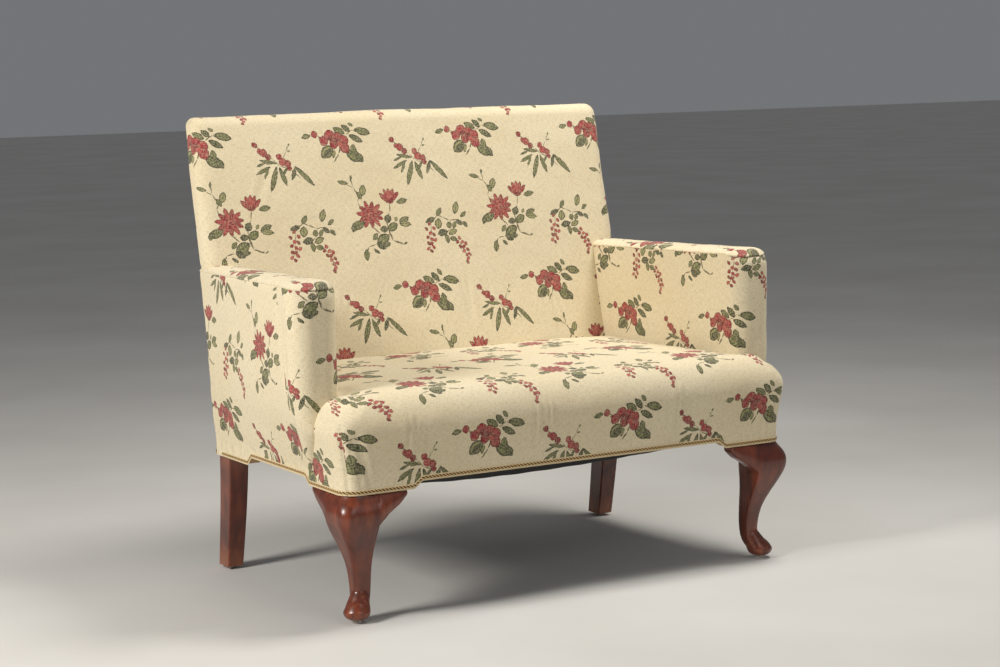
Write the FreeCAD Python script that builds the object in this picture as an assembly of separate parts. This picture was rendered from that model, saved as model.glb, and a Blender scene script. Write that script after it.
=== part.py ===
import FreeCAD, Part

import math
import os

V = FreeCAD.Vector

# Driving dimensions in millimetres. X runs to the right of someone who faces the sofa,
# Y runs from the front edge to the back, Z is up and the feet stand on Z = 0.

front_y = -369.5            # front face of the seat at the braid
floor_clearance = 278.0     # floor to the braid between the legs
leg_drop = 14.5             # how much lower the cloth hangs over each leg
seat_half_width = 543.0
seat_depth = 650.0          # braid at the front to the outside back
seat_corner_radius = 35.0
cloth = 2.0                 # cover cloth with its lining
gap = 0.3                   # free space between curved neighbours

rail_thickness = 26.0
rail_height = 70.0
rail_cover = 3.0            # cloth and wadding over the outer face of a rail
rail_rise = 3.0             # braid edge up to the underside of the rail

seat_height = 455.0         # top edge of the seat along the arms
seat_crown = 14.0
seat_shoulder = 68.0        # height of the rounded side shoulder of the seat
seat_bulge_side = 19.0      # the ears of the seat swell this far over the braid
seat_bulge_front = 10.0
seat_roll_side = 78.0       # plan run of the rounded side shoulder
seat_roll_front = 60.0
seat_roll_rear = 30.0
seat_corner_swell = 10.0    # the plan corners are this much rounder at the widest height

arm_setback = 95.0          # seat front to arm front
arm_sweep = 50.0            # the arm front runs back this far below arm_sweep_top
arm_sweep_top = 380.0
arm_flare_top = 430.0       # below this height the outer face runs in to the braid
arm_front_radius = 39.0
arm_front_radius_low = 18.0 # the arm is narrower where it stands on the rail
arm_rear_radius = 18.0
arm_rear_radius_low = 4.0
arm_height = 671.0          # seam of the top strip at the front
arm_fall = 7.0              # drop of the arm top from front to back
arm_crown = 12.0
arm_top_roll = 26.0         # plan run of the crown's rounded edge
arm_outer_front = 595.0
arm_outer_rear = 540.0
seat_half_rear = 524.0      # the seat block narrows towards the back
arm_inner_front = 490.0
arm_inner_rear = 463.0
arm_inner_pad = 32.0
arm_outer_pad = 6.0
arm_front_pad = 14.0
arm_top_pad = 12.0
arm_post_depth = 55.0
arm_board = 18.0

back_top = 1000.0
back_half_width = 535.0
back_half_low = 530.0       # between the arm covers
back_taper = 4.0            # the back is this much narrower each side at the top
back_front_radius = 28.0
back_rear_radius = 18.0
back_round_over = 22.0      # rounding of the top edge
back_widening = 12.0        # the back widens from arm to full width within this much of the arm top
back_crown_height = 600.0   # height where the crown reaches back_crown_mid
back_edge_depth = 588.0     # seat front to the edge of the inside back at bend_height
back_rake = 0.199           # run over rise of the inside back
back_crown_low = 38.0
back_crown_mid = 24.0
back_crown_top = 3.0
bend_height = 460.0         # the rear posts lean back above this height
rear_rake = 0.2
post_depth = 46.0
post_width = 50.0
post_side_cover = 23.5
post_top_depth = 32.0

front_foot_inset = 41.0     # foot centre to the side and front planes of the seat
rear_foot_x = 494.0
rear_foot_depth = 657.0
rear_leg_width = 46.0
rear_foot_width = 38.0
rear_foot_length = 48.0
toe = 4.0                   # the pad foot stands this far out of the leg, each way
front_stile = 50.0
knee_inner = 31.0           # foot centre to the inner faces of the knee
knee_flat = 190.0           # above this height the inner faces of the knee are flat
pad_foot_radius = 28.0
front_bracket_reach = 140.0 # knee brackets end this far from the seat corner
side_bracket_reach = 156.0
glide_height = 7.0
glide_radius = 10.5

braid_height = 11.0
braid_thickness = 2.0
notch_inner = 366.0         # the braid steps down between these two distances from the middle
notch_outer = 390.0
side_step_front = 162.0     # the same step on the sides, measured from the seat front
side_step_rear = 478.0
step_run = 24.0
rear_drop = 18.0            # how much lower the cloth hangs over each rear leg

spring_count = 8
spring_wire = 3.8
spring_bend = 12.5          # radius of each U bend
spring_reach = 24.0         # straight run between two bends
spring_spread = 416.0       # the outer springs stand this far from the middle
clip_wall = 1.2
clip_width = 14.0
burlap = 1.3
webbing = 1.5
webbing_width = 50.0
ear_overlap = 12.0          # the seat front wraps this far round the side of each arm

dowel_radius = 5.0
dowel_length = 50.0
screw_radius = 2.2
screw_length = 45.0
dust_sag = 30.0

# Heights and planes that follow from the driving dimensions.

layers = 2 * webbing + burlap
clip_bore = spring_wire / 2 + 0.25
cloth_low = floor_clearance - leg_drop
cloth_straight = cloth_low + 30.0
rail_bottom = floor_clearance + rail_rise
rail_top = rail_bottom + rail_height
spring_z = rail_top + spring_wire + 0.2
deck = spring_z + clip_bore + clip_wall + 0.1
pad_bottom = deck + burlap
rail_y = front_y + rail_cover
rail_x = seat_half_width - rail_cover
corner_radius_inside = seat_corner_radius - rail_cover
rear_y = front_y + seat_depth
arm_front_y = front_y + arm_setback
frame_rear_y = rear_y - cloth - gap
foot_x = seat_half_width - front_foot_inset
foot_y = front_y + front_foot_inset
rail_end_x = rail_x - front_stile
front_stile_y = rail_y + front_stile
rail_rear_x = seat_half_rear - rail_cover
post_outer_x = back_half_width - post_side_cover
post_inner_x = post_outer_x - post_width
panel_half = back_half_low - back_rear_radius - 1.0
panel_top = back_top - back_round_over
leg_top = floor_clearance - rear_drop - 1.0
tack_half = post_inner_x + 26.0 # webbing and burlap are tacked up to here
far = seat_half_width + 150.0   # beyond everything on each side
behind = rear_y + 200.0         # behind everything
ahead = front_y - 40.0          # in front of the seat cloth


def box(x0, x1, y0, y1, z0, z1):
    return Part.makeBox(x1 - x0, y1 - y0, z1 - z0, V(x0, y0, z0))


def rod(start, direction, length, radius):
    return Part.makeCylinder(radius, length, start, direction)


def mirrored(shape):
    return shape.mirror(V(0, 0, 0), V(1, 0, 0))


def prism_x(points, x0, x1):
    """Extrude a closed outline of (y, z) points from x0 to x1."""
    outline = Part.makePolygon([V(x0, y, z) for y, z in points + points[:1]])
    return Part.Face(outline).extrude(V(x1 - x0, 0, 0))


def prism_y(points, y0, y1):
    """Extrude a closed outline of (x, z) points from y0 to y1."""
    outline = Part.makePolygon([V(x, y0, z) for x, z in points + points[:1]])
    return Part.Face(outline).extrude(V(0, y1 - y0, 0))


def prism_z(points, z0, z1):
    """Extrude a closed outline of (x, y) points from z0 to z1."""
    outline = Part.makePolygon([V(x, y, z0) for x, y in points + points[:1]])
    return Part.Face(outline).extrude(V(0, 0, z1 - z0))


def rounded_wire(corners, radii, height):
    """Closed wire through (x, y) corners, each rounded by its radius; height(y) gives Z."""
    count = len(corners)
    edges = []
    starts, ends = [], []
    for i in range(count):
        here = V(corners[i][0], corners[i][1], 0)
        before = V(corners[i - 1][0], corners[i - 1][1], 0) - here
        after = V(corners[(i + 1) % count][0], corners[(i + 1) % count][1], 0) - here
        before.normalize()
        after.normalize()
        half = before.getAngle(after) / 2
        reach = radii[i] / math.tan(half)
        middle = before + after
        middle.normalize()
        tip = radii[i] / math.sin(half) - radii[i]
        starts.append(here + before * reach)
        ends.append((here + middle * tip, here + after * reach))
    for i in range(count):
        tip, end = ends[i]
        points = [starts[i], tip, end, starts[(i + 1) % count]]
        lifted = [V(p.x, p.y, height(p.y)) for p in points]
        edges.append(Part.Arc(lifted[0], lifted[1], lifted[2]).toShape())
        edges.append(Part.LineSegment(lifted[2], lifted[3]).toShape())
    return Part.Wire(edges)


def level(z):
    return lambda y: z


def between(low, high, z, z_low, z_high):
    share = min(max((z - z_low) / (z_high - z_low), 0.0), 1.0)
    return low + (high - low) * share


def back_rear_y(z):
    """Outside back surface: upright up to the bend, raked above it."""
    return rear_y + max(z - bend_height, 0.0) * rear_rake


def back_edge_y(z):
    """Inside back surface along its left and right edges."""
    return front_y + back_edge_depth + (z - bend_height) * back_rake


def back_crown(z):
    """How far the middle of the inside back stands in front of its edges."""
    if z < back_crown_height:
        return between(back_crown_low, back_crown_mid, z, bend_height, back_crown_height)
    return between(back_crown_mid, back_crown_top, z, back_crown_height, back_top)


def side_x(y):
    """Half width of the seat block at the braid."""
    return between(seat_half_width, seat_half_rear, y, front_y, rear_y)


def arm_outer_rear_x(z):
    return between(seat_half_rear, arm_outer_rear, z, cloth_straight, arm_flare_top)


def back_half_x(z):
    """Half width of the upholstered back: inside the arm cloth below, tapering above."""
    if z < arm_height:
        return min(back_half_low, arm_outer_rear_x(z) - arm_outer_pad)
    return back_half_width - back_taper * (z - arm_height) / (back_top - arm_height)


def corner_arc(centre_x, centre_y, radius, start, z):
    """Quarter circle in the plane at z, from the start angle onwards."""
    points = []
    for turn in (0.0, 45.0, 90.0):
        angle = math.radians(start + turn)
        points.append(V(centre_x + radius * math.cos(angle), centre_y + radius * math.sin(angle), z))
    return Part.Arc(*points).toShape()


def back_section(z, inset, draw_in=0.0):
    """Plan of the back at height z: crowned front, rounded corners, flat rear."""
    half = back_half_x(z) - inset - draw_in
    edge = back_edge_y(z) + inset + draw_in
    rear = back_rear_y(z) - inset - draw_in
    front_radius = max(back_front_radius - inset - draw_in, 4.0)
    rear_radius = max(back_rear_radius - inset - draw_in, 3.0)
    front_x = half - front_radius
    rear_x = half - rear_radius
    crown = V(0, edge - back_crown(z), z)
    edges = [
        Part.Arc(V(-front_x, edge, z), crown, V(front_x, edge, z)).toShape(),
        corner_arc(front_x, edge + front_radius, front_radius, -90.0, z),
        Part.LineSegment(V(half, edge + front_radius, z), V(half, rear - rear_radius, z)).toShape(),
        corner_arc(rear_x, rear - rear_radius, rear_radius, 0.0, z),
        Part.LineSegment(V(rear_x, rear, z), V(-rear_x, rear, z)).toShape(),
        corner_arc(-rear_x, rear - rear_radius, rear_radius, 90.0, z),
        Part.LineSegment(V(-half, rear - rear_radius, z), V(-half, edge + front_radius, z)).toShape(),
        corner_arc(-front_x, edge + front_radius, front_radius, 180.0, z),
    ]
    return Part.Wire(edges)


def back_body(inset):
    """Upholstered back, set in from its finished surface everywhere but at the bottom."""
    arm_steps = [arm_height - back_widening, arm_height + back_widening]
    steps = [pad_bottom, bend_height, 560.0] + arm_steps + [780.0, 890.0, panel_top]
    wires = [back_section(z, inset) for z in steps]
    for angle in (35.0, 62.0, 85.0):
        rise = back_round_over * math.sin(math.radians(angle))
        draw_in = back_round_over * (1 - math.cos(math.radians(angle)))
        z = panel_top + rise * (1 - inset / back_round_over)
        wires.append(back_section(z, inset, draw_in))
    return Part.makeLoft(wires, True, True)


def arm_front_line(z):
    """Front of the arm: upright above the seat, running back under the ear of the seat."""
    return arm_front_y + between(arm_sweep, 0.0, z, cloth_straight, arm_sweep_top)


def arm_inner_x(y):
    run = (y - arm_front_y) / (rear_y - arm_front_y)
    return arm_inner_front + (arm_inner_rear - arm_inner_front) * run


def arm_outer_x(y, z):
    """Outer face of the arm; at the braid it runs in line with the seat."""
    front = between(side_x(arm_front_y), arm_outer_front, z, cloth_straight, arm_flare_top)
    run = (y - arm_front_y) / (rear_y - arm_front_y)
    return front + (arm_outer_rear_x(z) - front) * run


def arm_wire(z, inner, outer, front, rear):
    """Plan of the left arm at height z with separate insets for its four sides."""
    share = between(0.0, 1.0, z, cloth_straight, arm_height)
    y_front = arm_front_line(z) + front
    y_rear = back_rear_y(z) - rear
    corners = [
        (-arm_inner_x(y_rear) - inner, y_rear),
        (-arm_inner_x(y_front) - inner, y_front),
        (-arm_outer_x(y_front, z) + outer, y_front),
        (-arm_outer_x(y_rear, z) + outer, y_rear),
    ]
    radius = between(arm_front_radius_low, arm_front_radius, z, cloth_straight, bend_height)
    radius = max(radius - front, 4.0)
    rear_radius = between(arm_rear_radius_low, arm_rear_radius, z, cloth_straight, arm_flare_top)
    rear_radius = max(rear_radius - rear, 1.0)
    slope = arm_fall / (rear_y - arm_front_y) * share
    radii = [1.0, radius, radius, rear_radius]
    return rounded_wire(corners, radii, lambda y: z - slope * (y - arm_front_y))


def arm_cap_wires(inset):
    """Sections of the crowned arm top, from the seam upwards."""
    wires = []
    for angle in (0.0, 30.0, 55.0, 76.0):
        rise = (arm_crown - inset) * math.sin(math.radians(angle))
        side = inset + arm_top_roll * (1 - math.cos(math.radians(angle)))
        wires.append(arm_wire(arm_height + rise, side, side, side, inset))
    return wires


def arm_cap(inset):
    return Part.makeLoft(arm_cap_wires(inset), True, True)


def arm_body(inner, outer, front, rear, top=arm_height, capped=False):
    """Left arm up to its top seam, or with its crown; a positive inset moves a side inwards."""
    heights = [cloth_low, cloth_straight, arm_sweep_top, arm_flare_top, bend_height]
    wires = [arm_wire(z, inner, outer, front, rear) for z in heights]
    wires += arm_cap_wires(inner) if capped else [arm_wire(top, inner, outer, front, rear)]
    return Part.makeLoft(wires, True, True)


def seat_wire(z, side, front, rear, radius):
    half = seat_half_width - side
    rear_half = seat_half_rear - side
    corners = [
        (rear_half, rear_y - rear),
        (-rear_half, rear_y - rear),
        (-half, front_y + front),
        (half, front_y + front),
    ]
    return rounded_wire(corners, [radius, radius, radius, radius], level(z))


def seat_body(inset):
    """Seat block as if the arms and the back weren't there, crowned and drawn in at the braid."""
    shoulder_low = seat_height - seat_shoulder
    radius = seat_corner_radius - inset
    wires = [seat_wire(cloth_low, inset, inset, 0.0, radius)]
    swell = [(0.0, 0.0), (0.38, 0.28), (0.62, 0.52), (0.85, 0.83), (1.0, 1.0)]
    for share, bulge in swell:
        z = between(cloth_straight, shoulder_low, share, 0.0, 1.0)
        side = inset - seat_bulge_side * bulge
        front = inset - seat_bulge_front * bulge
        wires.append(seat_wire(z, side, front, 0.0, radius + seat_corner_swell * bulge))
    for angle in (28.0, 52.0, 72.0):
        rise = (seat_shoulder - inset) * math.sin(math.radians(angle))
        turn = 1 - math.cos(math.radians(angle))
        side = inset - seat_bulge_side + seat_roll_side * turn
        front = inset - seat_bulge_front + seat_roll_front * turn
        rear = seat_roll_rear * turn
        corner = radius + seat_corner_swell + seat_roll_rear * turn
        wires.append(seat_wire(shoulder_low + rise, side, front, rear, corner))
    crown = [
        # share of the crown, then how far in the sides, front and rear are, and the corner radius
        (0.45, 105.0, 105.0, 60.0, 80.0),
        (0.85, 210.0, 190.0, 120.0, 90.0),
        (1.0, 330.0, 260.0, 200.0, 60.0),
    ]
    for share, side, front, rear, corner in crown:
        wires.append(seat_wire(seat_height - inset + seat_crown * share, side, front, rear, corner))
    return Part.makeLoft(wires, True, True)


def under_edge(lift):
    """Solids that lie below the stepped lower edge of the cloth, raised by lift."""
    high = floor_clearance + lift
    low = cloth_low + lift
    rear_low = high - rear_drop
    floor = cloth_low - 80.0
    inner_x = rail_rear_x - rail_thickness - 1.0
    past_rear = rear_y + 40.0
    front_steps = [
        (-far, floor), (-far, low), (-notch_outer, low), (-notch_inner, high),
        (notch_inner, high), (notch_outer, low), (far, low), (far, floor),
    ]
    rear_steps = [(x, rear_low if z == low else z) for x, z in front_steps]
    step_a = front_y + side_step_front
    step_b = front_y + side_step_rear
    side_steps = [
        (ahead, floor), (ahead, low), (step_a, low), (step_a + step_run, high),
        (step_b - step_run, high), (step_b, rear_low), (past_rear, rear_low), (past_rear, floor),
    ]
    return [
        prism_y(front_steps, ahead, rail_y + rail_thickness),
        prism_y(rear_steps, frame_rear_y - rail_thickness, past_rear),
        prism_x(side_steps, -far, -inner_x),
        prism_x(side_steps, inner_x, far),
    ]


def cut_all(shape, tools):
    for tool in tools:
        shape = shape.cut(tool)
    return shape


def leg_square(z, outer, inner, arris, rear_arris):
    """Section of the left front leg: a square whose outer corner is the rounded arris."""
    corners = [
        (-foot_x + inner, foot_y + inner),
        (-foot_x - outer, foot_y + inner),
        (-foot_x - outer, foot_y - outer),
        (-foot_x + inner, foot_y - outer),
    ]
    return rounded_wire(corners, [rear_arris, 5.0, arris, 5.0], level(z))


def front_leg():
    """Cabriole leg: knee, ankle and pad foot, with the stile that stands inside the corner."""
    profile = [
        # height, outer corner, inner corner, arris radius, rear arris radius
        (cloth_low - 1.0, 39.0, knee_inner, 31.0, 6.0),
        (246.0, 48.0, knee_inner, 28.0, 7.0),
        (226.0, 54.0, knee_inner, 25.0, 8.0),
        (206.0, 51.5, knee_inner, 22.0, 9.0),
        (178.0, 40.0, 30.0, 18.0, 9.0),
        (148.0, 25.0, 30.0, 15.0, 9.0),
        (118.0, 12.5, 31.0, 13.0, 9.0),
        (88.0, 6.0, 31.5, 12.0, 9.0),
        (60.0, 4.0, 30.5, 12.0, 9.0),
        (40.0, 6.0, 27.0, 12.0, 9.0),
        (28.0, 9.0, 22.0, 12.0, 9.0),
    ]
    wires = [leg_square(*row) for row in profile]
    limb = Part.makeLoft(wires, True, False)
    low, high = knee_flat, floor_clearance
    limb = limb.cut(box(-foot_x + knee_inner, 0, ahead, 0, low, high))
    limb = limb.cut(box(-far, 0, foot_y + knee_inner, 0, low, high))
    centre = V(-foot_x - toe, foot_y - toe, 0)
    radius = pad_foot_radius
    outline = [
        Part.LineSegment(V(0, 0, glide_height), V(15, 0, glide_height)).toShape(),
        Part.Arc(V(15, 0, glide_height), V(radius - 1.5, 0, 16.0), V(radius, 0, 23.0)).toShape(),
        Part.Arc(V(radius, 0, 23.0), V(radius - 6.0, 0, 32.0), V(14.0, 0, 41.0)).toShape(),
        Part.LineSegment(V(14.0, 0, 41.0), V(0, 0, 44.0)).toShape(),
        Part.LineSegment(V(0, 0, 44.0), V(0, 0, glide_height)).toShape(),
    ]
    pad = Part.Face(Part.Wire(outline)).revolve(V(0, 0, 0), V(0, 0, 1), 360)
    pad.translate(centre)
    corners = [
        (-rail_end_x, front_stile_y), (rail_cover - side_x(front_stile_y), front_stile_y),
        (rail_cover - side_x(rail_y), rail_y), (-rail_end_x, rail_y),
    ]
    stile_radii = [1.0, 1.0, corner_radius_inside, 1.0]
    plan = Part.Face(rounded_wire(corners, stile_radii, level(cloth_low - 1.0)))
    stile = plan.extrude(V(0, 0, rail_top - cloth_low + 1.0))
    return limb.fuse(pad).fuse(stile).removeSplitter()


def knee_bracket(place, reach):
    """Bracket beside the front knee; place(s, depth, z) sets it along the front or the side."""
    top = cloth_low + rail_rise
    shoulder = cloth_low - 1.0
    length = reach - front_foot_inset - knee_inner
    rows = [(0.0, 62.0, 13.0), (0.35, 42.0, 8.0), (0.75, 26.0, 3.0), (1.0, 10.0, 0.0)]
    wires = []
    for share, height, bulge in rows:
        along = share * length
        bottom = shoulder - height
        inner = rail_cover + rail_thickness
        back_top_point = place(along, inner, top)
        tongue = place(along, rail_cover, top)
        tongue_foot = place(along, rail_cover, shoulder)
        lip = place(along, 0.5, shoulder)
        swell = place(along, -bulge, shoulder - height * 0.62)
        toe_point = place(along, rail_cover - bulge * 0.8, bottom)
        back_low_point = place(along, inner, bottom)
        edges = [
            Part.LineSegment(back_top_point, tongue).toShape(),
            Part.LineSegment(tongue, tongue_foot).toShape(),
            Part.LineSegment(tongue_foot, lip).toShape(),
            Part.Arc(lip, swell, toe_point).toShape(),
            Part.LineSegment(toe_point, back_low_point).toShape(),
            Part.LineSegment(back_low_point, back_top_point).toShape(),
        ]
        wires.append(Part.Wire(edges))
    return Part.makeLoft(wires, True, True)


def rear_leg_wire(z, centre_depth, width, length):
    x0 = rear_foot_x
    y0 = front_y + centre_depth
    corners = [
        (-x0 + width / 2, y0 + length / 2),
        (-x0 - width / 2, y0 + length / 2),
        (-x0 - width / 2, y0 - length / 2),
        (-x0 + width / 2, y0 - length / 2),
    ]
    return rounded_wire(corners, [3.0, 3.0, 3.0, 3.0], level(z))


def post_front_y(z):
    lower = frame_rear_y - post_depth
    top_front = back_rear_y(back_top) - cloth - gap - post_top_depth
    if z < bend_height:
        return lower
    return between(lower, top_front, z, bend_height, back_top)


def raked_slab(x0, x1, z0, z1, front_extra=0.0, rear_extra=0.0):
    """Piece of the back frame between two heights, following the posts' front and rear faces."""
    heights = [z0] + [z for z in (bend_height,) if z0 < z < z1] + [z1]
    front = [(post_front_y(z) + front_extra, z) for z in heights]
    rear = [(back_rear_y(z) - cloth - gap - rear_extra, z) for z in reversed(heights)]
    return prism_x(front + rear, x0, x1)


def rear_post(top):
    """Rear leg and back post in one: raked foot, upright at the rails, raked above."""
    leg_length = post_depth + 10.0
    rail_level = seat_depth - cloth - gap - post_depth / 2
    rows = [
        (leg_top, rail_level - 2.0, rear_leg_width, leg_length - 2.0),
        (190.0, rail_level + 3.0, 44.5, leg_length - 4.0),
        (110.0, rail_level + 14.0, 42.0, leg_length - 6.0),
        (glide_height, rear_foot_depth, rear_foot_width, rear_foot_length),
    ]
    leg = Part.makeLoft([rear_leg_wire(*row) for row in rows], True, False)
    post = raked_slab(-post_outer_x, -post_inner_x, leg_top, top)
    return leg.fuse(post).removeSplitter()


def dowel_pair(centre, direction, spread):
    """Two dowels across a joint: centre point of the joint face and the direction across it."""
    rods, holes = [], []
    for side in (-0.5, 0.5):
        start = centre + spread * side - direction * (dowel_length / 2)
        rods.append(rod(start, direction, dowel_length, dowel_radius))
        holes.append(rod(start - direction, direction, dowel_length + 2.0, dowel_radius + 0.15))
    return rods, holes


def screw(start, direction):
    """Wood screw with its head sunk from the start point, and the hole it needs."""
    sink = 8.0
    head = rod(start + direction * sink, direction, 3.0, screw_radius * 2)
    shank = rod(start + direction * (sink + 3.0), direction, screw_length - 3.0, screw_radius)
    bore = rod(start + direction * sink, direction, screw_length + 1.0, screw_radius + 0.15)
    mouth = rod(start - direction * 30.0, direction, sink + 33.0, screw_radius * 2 + 0.15)
    return head.fuse(shank), bore.fuse(mouth)


def side_inner_x(y):
    """Inner face of the left side rail at y."""
    return -(side_x(y) - rail_cover - rail_thickness)


def sinuous_spring(y_start, y_end):
    """Zigzag spring from the front rail to the rear rail: straight runs joined by half turns."""
    turns = int((y_end - y_start) / (2 * spring_bend))
    bend = (y_end - y_start) / turns / 2
    half = spring_reach / 2
    pieces = []
    side = 1
    y = y_start
    for i in range(turns + 1):
        pieces.append(rod(V(-half, y, spring_z), V(1, 0, 0), spring_reach, spring_wire / 2))
        if i < turns:
            end = V(side * half, y, spring_z)
            ring = Part.Face(Part.Wire([Part.Circle(end, V(1, 0, 0), spring_wire / 2).toShape()]))
            pieces.append(ring.revolve(end + V(0, bend, 0), V(0, 0, side), 180))
        side = -side
        y += 2 * bend
    return pieces[0].multiFuse(pieces[1:])


def spring_clip(x_middle, y, outward):
    """Curled clip that holds the end run of a spring on its rail."""
    left = x_middle - clip_width / 2
    curl = rod(V(left, y, spring_z), V(1, 0, 0), clip_width, clip_bore + clip_wall)
    ends = sorted([y, y + outward * 14.0])
    plate = box(left, left + clip_width, ends[0], ends[1], rail_top, rail_top + clip_wall)
    hole = rod(V(left - 1, y, spring_z), V(1, 0, 0), clip_width + 2, clip_bore)
    return curl.fuse(plate).cut(hole)


def base_outline(grow):
    """Plan of the sofa at the braid, grown outwards."""
    half = seat_half_width + grow
    rear_half = seat_half_rear + grow
    corners = [
        (rear_half, rear_y + grow),
        (-rear_half, rear_y + grow),
        (-half, front_y - grow),
        (half, front_y - grow),
    ]
    radius = seat_corner_radius + grow
    return rounded_wire(corners, [2.0 + grow, 2.0 + grow, radius, radius], level(cloth_low))


def save(name, shape):
    solids = shape.Solids
    print(f"{name}: {len(solids)} solid(s), volume {shape.Volume:.0f}, valid {shape.isValid()}")
    if len(solids) == 1:
        shape = solids[0]
    shape.exportStep(f"parts/{name}.step")


def both_sides(name, left_shape):
    save(f"{name}_left", left_shape)
    save(f"{name}_right", mirrored(left_shape))


def compound(shapes):
    return Part.makeCompound(shapes)


def front_slab(x0, x1, z0, z1, near, far):
    """Thin layer in front of the back frame, between two distances from the posts' front faces."""
    outer = [(post_front_y(z) - far, z) for z in (z0, z1)]
    inner = [(post_front_y(z) - near, z) for z in (z1, z0)]
    return prism_x(outer + inner, x0, x1)


def rear_layer(front, behind, half, top):
    """Layer along the outside back, between two distances before and behind its surface."""
    heights = [cloth_low - rear_drop, bend_height, top]
    near = [(back_rear_y(z) - front, z) for z in heights]
    off = [(back_rear_y(z) + behind, z) for z in reversed(heights)]
    return prism_x(near + off, -half, half)


def dust_sheet():
    """Cambric under the frame: flat where it is tacked, sagging in the middle."""
    top = rail_bottom - gap
    thickness = 1.4
    reach = post_inner_x - 6.0
    y0 = rail_y + rail_thickness + 4.0
    y1 = rear_rail_y - 4.0
    middle = (y0 + y1) / 2
    wires = []
    for share in (-1.0, -0.8, -0.5, -0.2, 0.2, 0.5, 0.8, 1.0):
        x = share * reach
        sag = 1.0 + dust_sag * (1 - share * share)
        low = top - thickness
        edges = [
            Part.Arc(V(x, y0, top), V(x, middle, top - sag), V(x, y1, top)).toShape(),
            Part.LineSegment(V(x, y1, top), V(x, y1, low)).toShape(),
            Part.Arc(V(x, y1, low), V(x, middle, low - sag), V(x, y0, low)).toShape(),
            Part.LineSegment(V(x, y0, low), V(x, y0, top)).toShape(),
        ]
        wires.append(Part.Wire(edges))
    belly = Part.makeLoft(wires, True, True)
    low = top - thickness
    step_a = front_y + side_step_front + step_run + 6.0
    step_b = front_y + side_step_rear - step_run - 6.0
    side = -side_inner_x(rear_y) - gap
    rim = box(-notch_inner + 6, notch_inner - 6, rail_y + 6, frame_rear_y - 6, low, top)
    rim = rim.fuse(box(-side, side, rail_y + rail_thickness + gap, rear_rail_y - gap, low, top))
    rim = rim.fuse(box(-side - 20, side + 20, step_a, step_b, low, top))
    rim = rim.cut(box(-reach, reach, y0, y1, low - 1, top + 1))
    corner_x = post_inner_x - gap
    for sign in (-1, 1):
        x0, x1 = sorted([sign * corner_x, sign * (side + 40)])
        rim = rim.cut(box(x0, x1, post_front_low - gap, rear_y, low - 1, top + 1))
        rim = rim.cut(box(x0, x1, front_y, rail_y + front_stile + gap, low - 1, top + 1))
    return rim.fuse(belly).removeSplitter()


# Planes of the rear joints and the places of the dowels.

rear_rail_y = frame_rear_y - rail_thickness
post_front_low = frame_rear_y - post_depth
joint_z = rail_bottom + rail_height / 2
post_top = back_top - 24.0
top_rail_height = 45.0
top_rail_z = post_top - top_rail_height / 2
tack_rail_height = 40.0
tack_low = bend_height + 10.0
tack_high = tack_low + tack_rail_height
tack_rail_z = (tack_low + tack_high) / 2
rail_spread = V(0, 0, 34.0)
back_spread = V(0, 0, 18.0)


def post_middle_y(z):
    return (post_front_y(z) + back_rear_y(z) - cloth - gap) / 2


joints = [
    (V(-rail_end_x, rail_y + rail_thickness / 2, joint_z), V(1, 0, 0), rail_spread),
    (V(-rail_x + rail_thickness / 2 + 1.0, front_stile_y, joint_z), V(0, 1, 0), rail_spread),
    (V(-post_inner_x, rear_rail_y + rail_thickness / 2, joint_z), V(1, 0, 0), rail_spread),
    (V(-rail_rear_x + rail_thickness / 2, post_front_low, joint_z), V(0, 1, 0), rail_spread),
    (V(-post_inner_x, post_middle_y(top_rail_z), top_rail_z), V(1, 0, 0), back_spread),
    (V(-post_inner_x, post_middle_y(tack_rail_z), tack_rail_z), V(1, 0, 0), back_spread),
]
dowels, dowel_holes = [], []
for centre, direction, spread in joints:
    rods, holes = dowel_pair(centre, direction, spread)
    dowels += rods
    dowel_holes += holes
dowels += [mirrored(piece) for piece in dowels]
dowel_holes += [mirrored(hole) for hole in dowel_holes]

os.makedirs("parts", exist_ok=True)

below_cloth = under_edge(0.0)
below_rail = under_edge(rail_rise)

# Corner blocks with their screws.

block_low = rail_top - 48.0
block_high = rail_top - 4.0
block_z = (block_low + block_high) / 2
block_reach = 60.0
front_inner_y = rail_y + rail_thickness
block_y = front_stile_y + block_reach
front_block = prism_z(
    [
        (-rail_end_x, front_inner_y), (-rail_end_x + block_reach, front_inner_y),
        (side_inner_x(block_y), block_y), (side_inner_x(front_stile_y), front_stile_y),
        (-rail_end_x, front_stile_y),
    ],
    block_low, block_high,
)
block_y = post_front_low - block_reach
rear_block = prism_z(
    [
        (-post_inner_x, rear_rail_y), (-post_inner_x + block_reach, rear_rail_y),
        (side_inner_x(block_y), block_y), (side_inner_x(post_front_low), post_front_low),
        (-post_inner_x, post_front_low),
    ],
    block_low, block_high,
)
screw_starts = [
    (V(-rail_end_x + 28.0, front_inner_y + 36.0, block_z + 8.0), V(0, -1, 0)),
    (V(-rail_end_x + 14.0, front_stile_y + 24.0, block_z - 8.0), V(-1, 0, 0)),
    (V(-post_inner_x + 30.0, rear_rail_y - 36.0, block_z + 8.0), V(0, 1, 0)),
    (V(-post_inner_x + 12.0, post_front_low - 24.0, block_z - 8.0), V(-1, 0, 0)),
]
screws, screw_holes = [], []
for start, direction in screw_starts:
    body, hole = screw(start, direction)
    screws.append(body)
    screw_holes.append(hole)
screws += [mirrored(piece) for piece in screws]
screw_holes += [mirrored(hole) for hole in screw_holes]
both_sides("corner_block_front", cut_all(front_block, screw_holes))
both_sides("corner_block_rear", cut_all(rear_block, screw_holes))
save("corner_screws", compound(screws))
save("frame_dowels", compound(dowels))

# Legs, knee brackets and glides.

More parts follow.
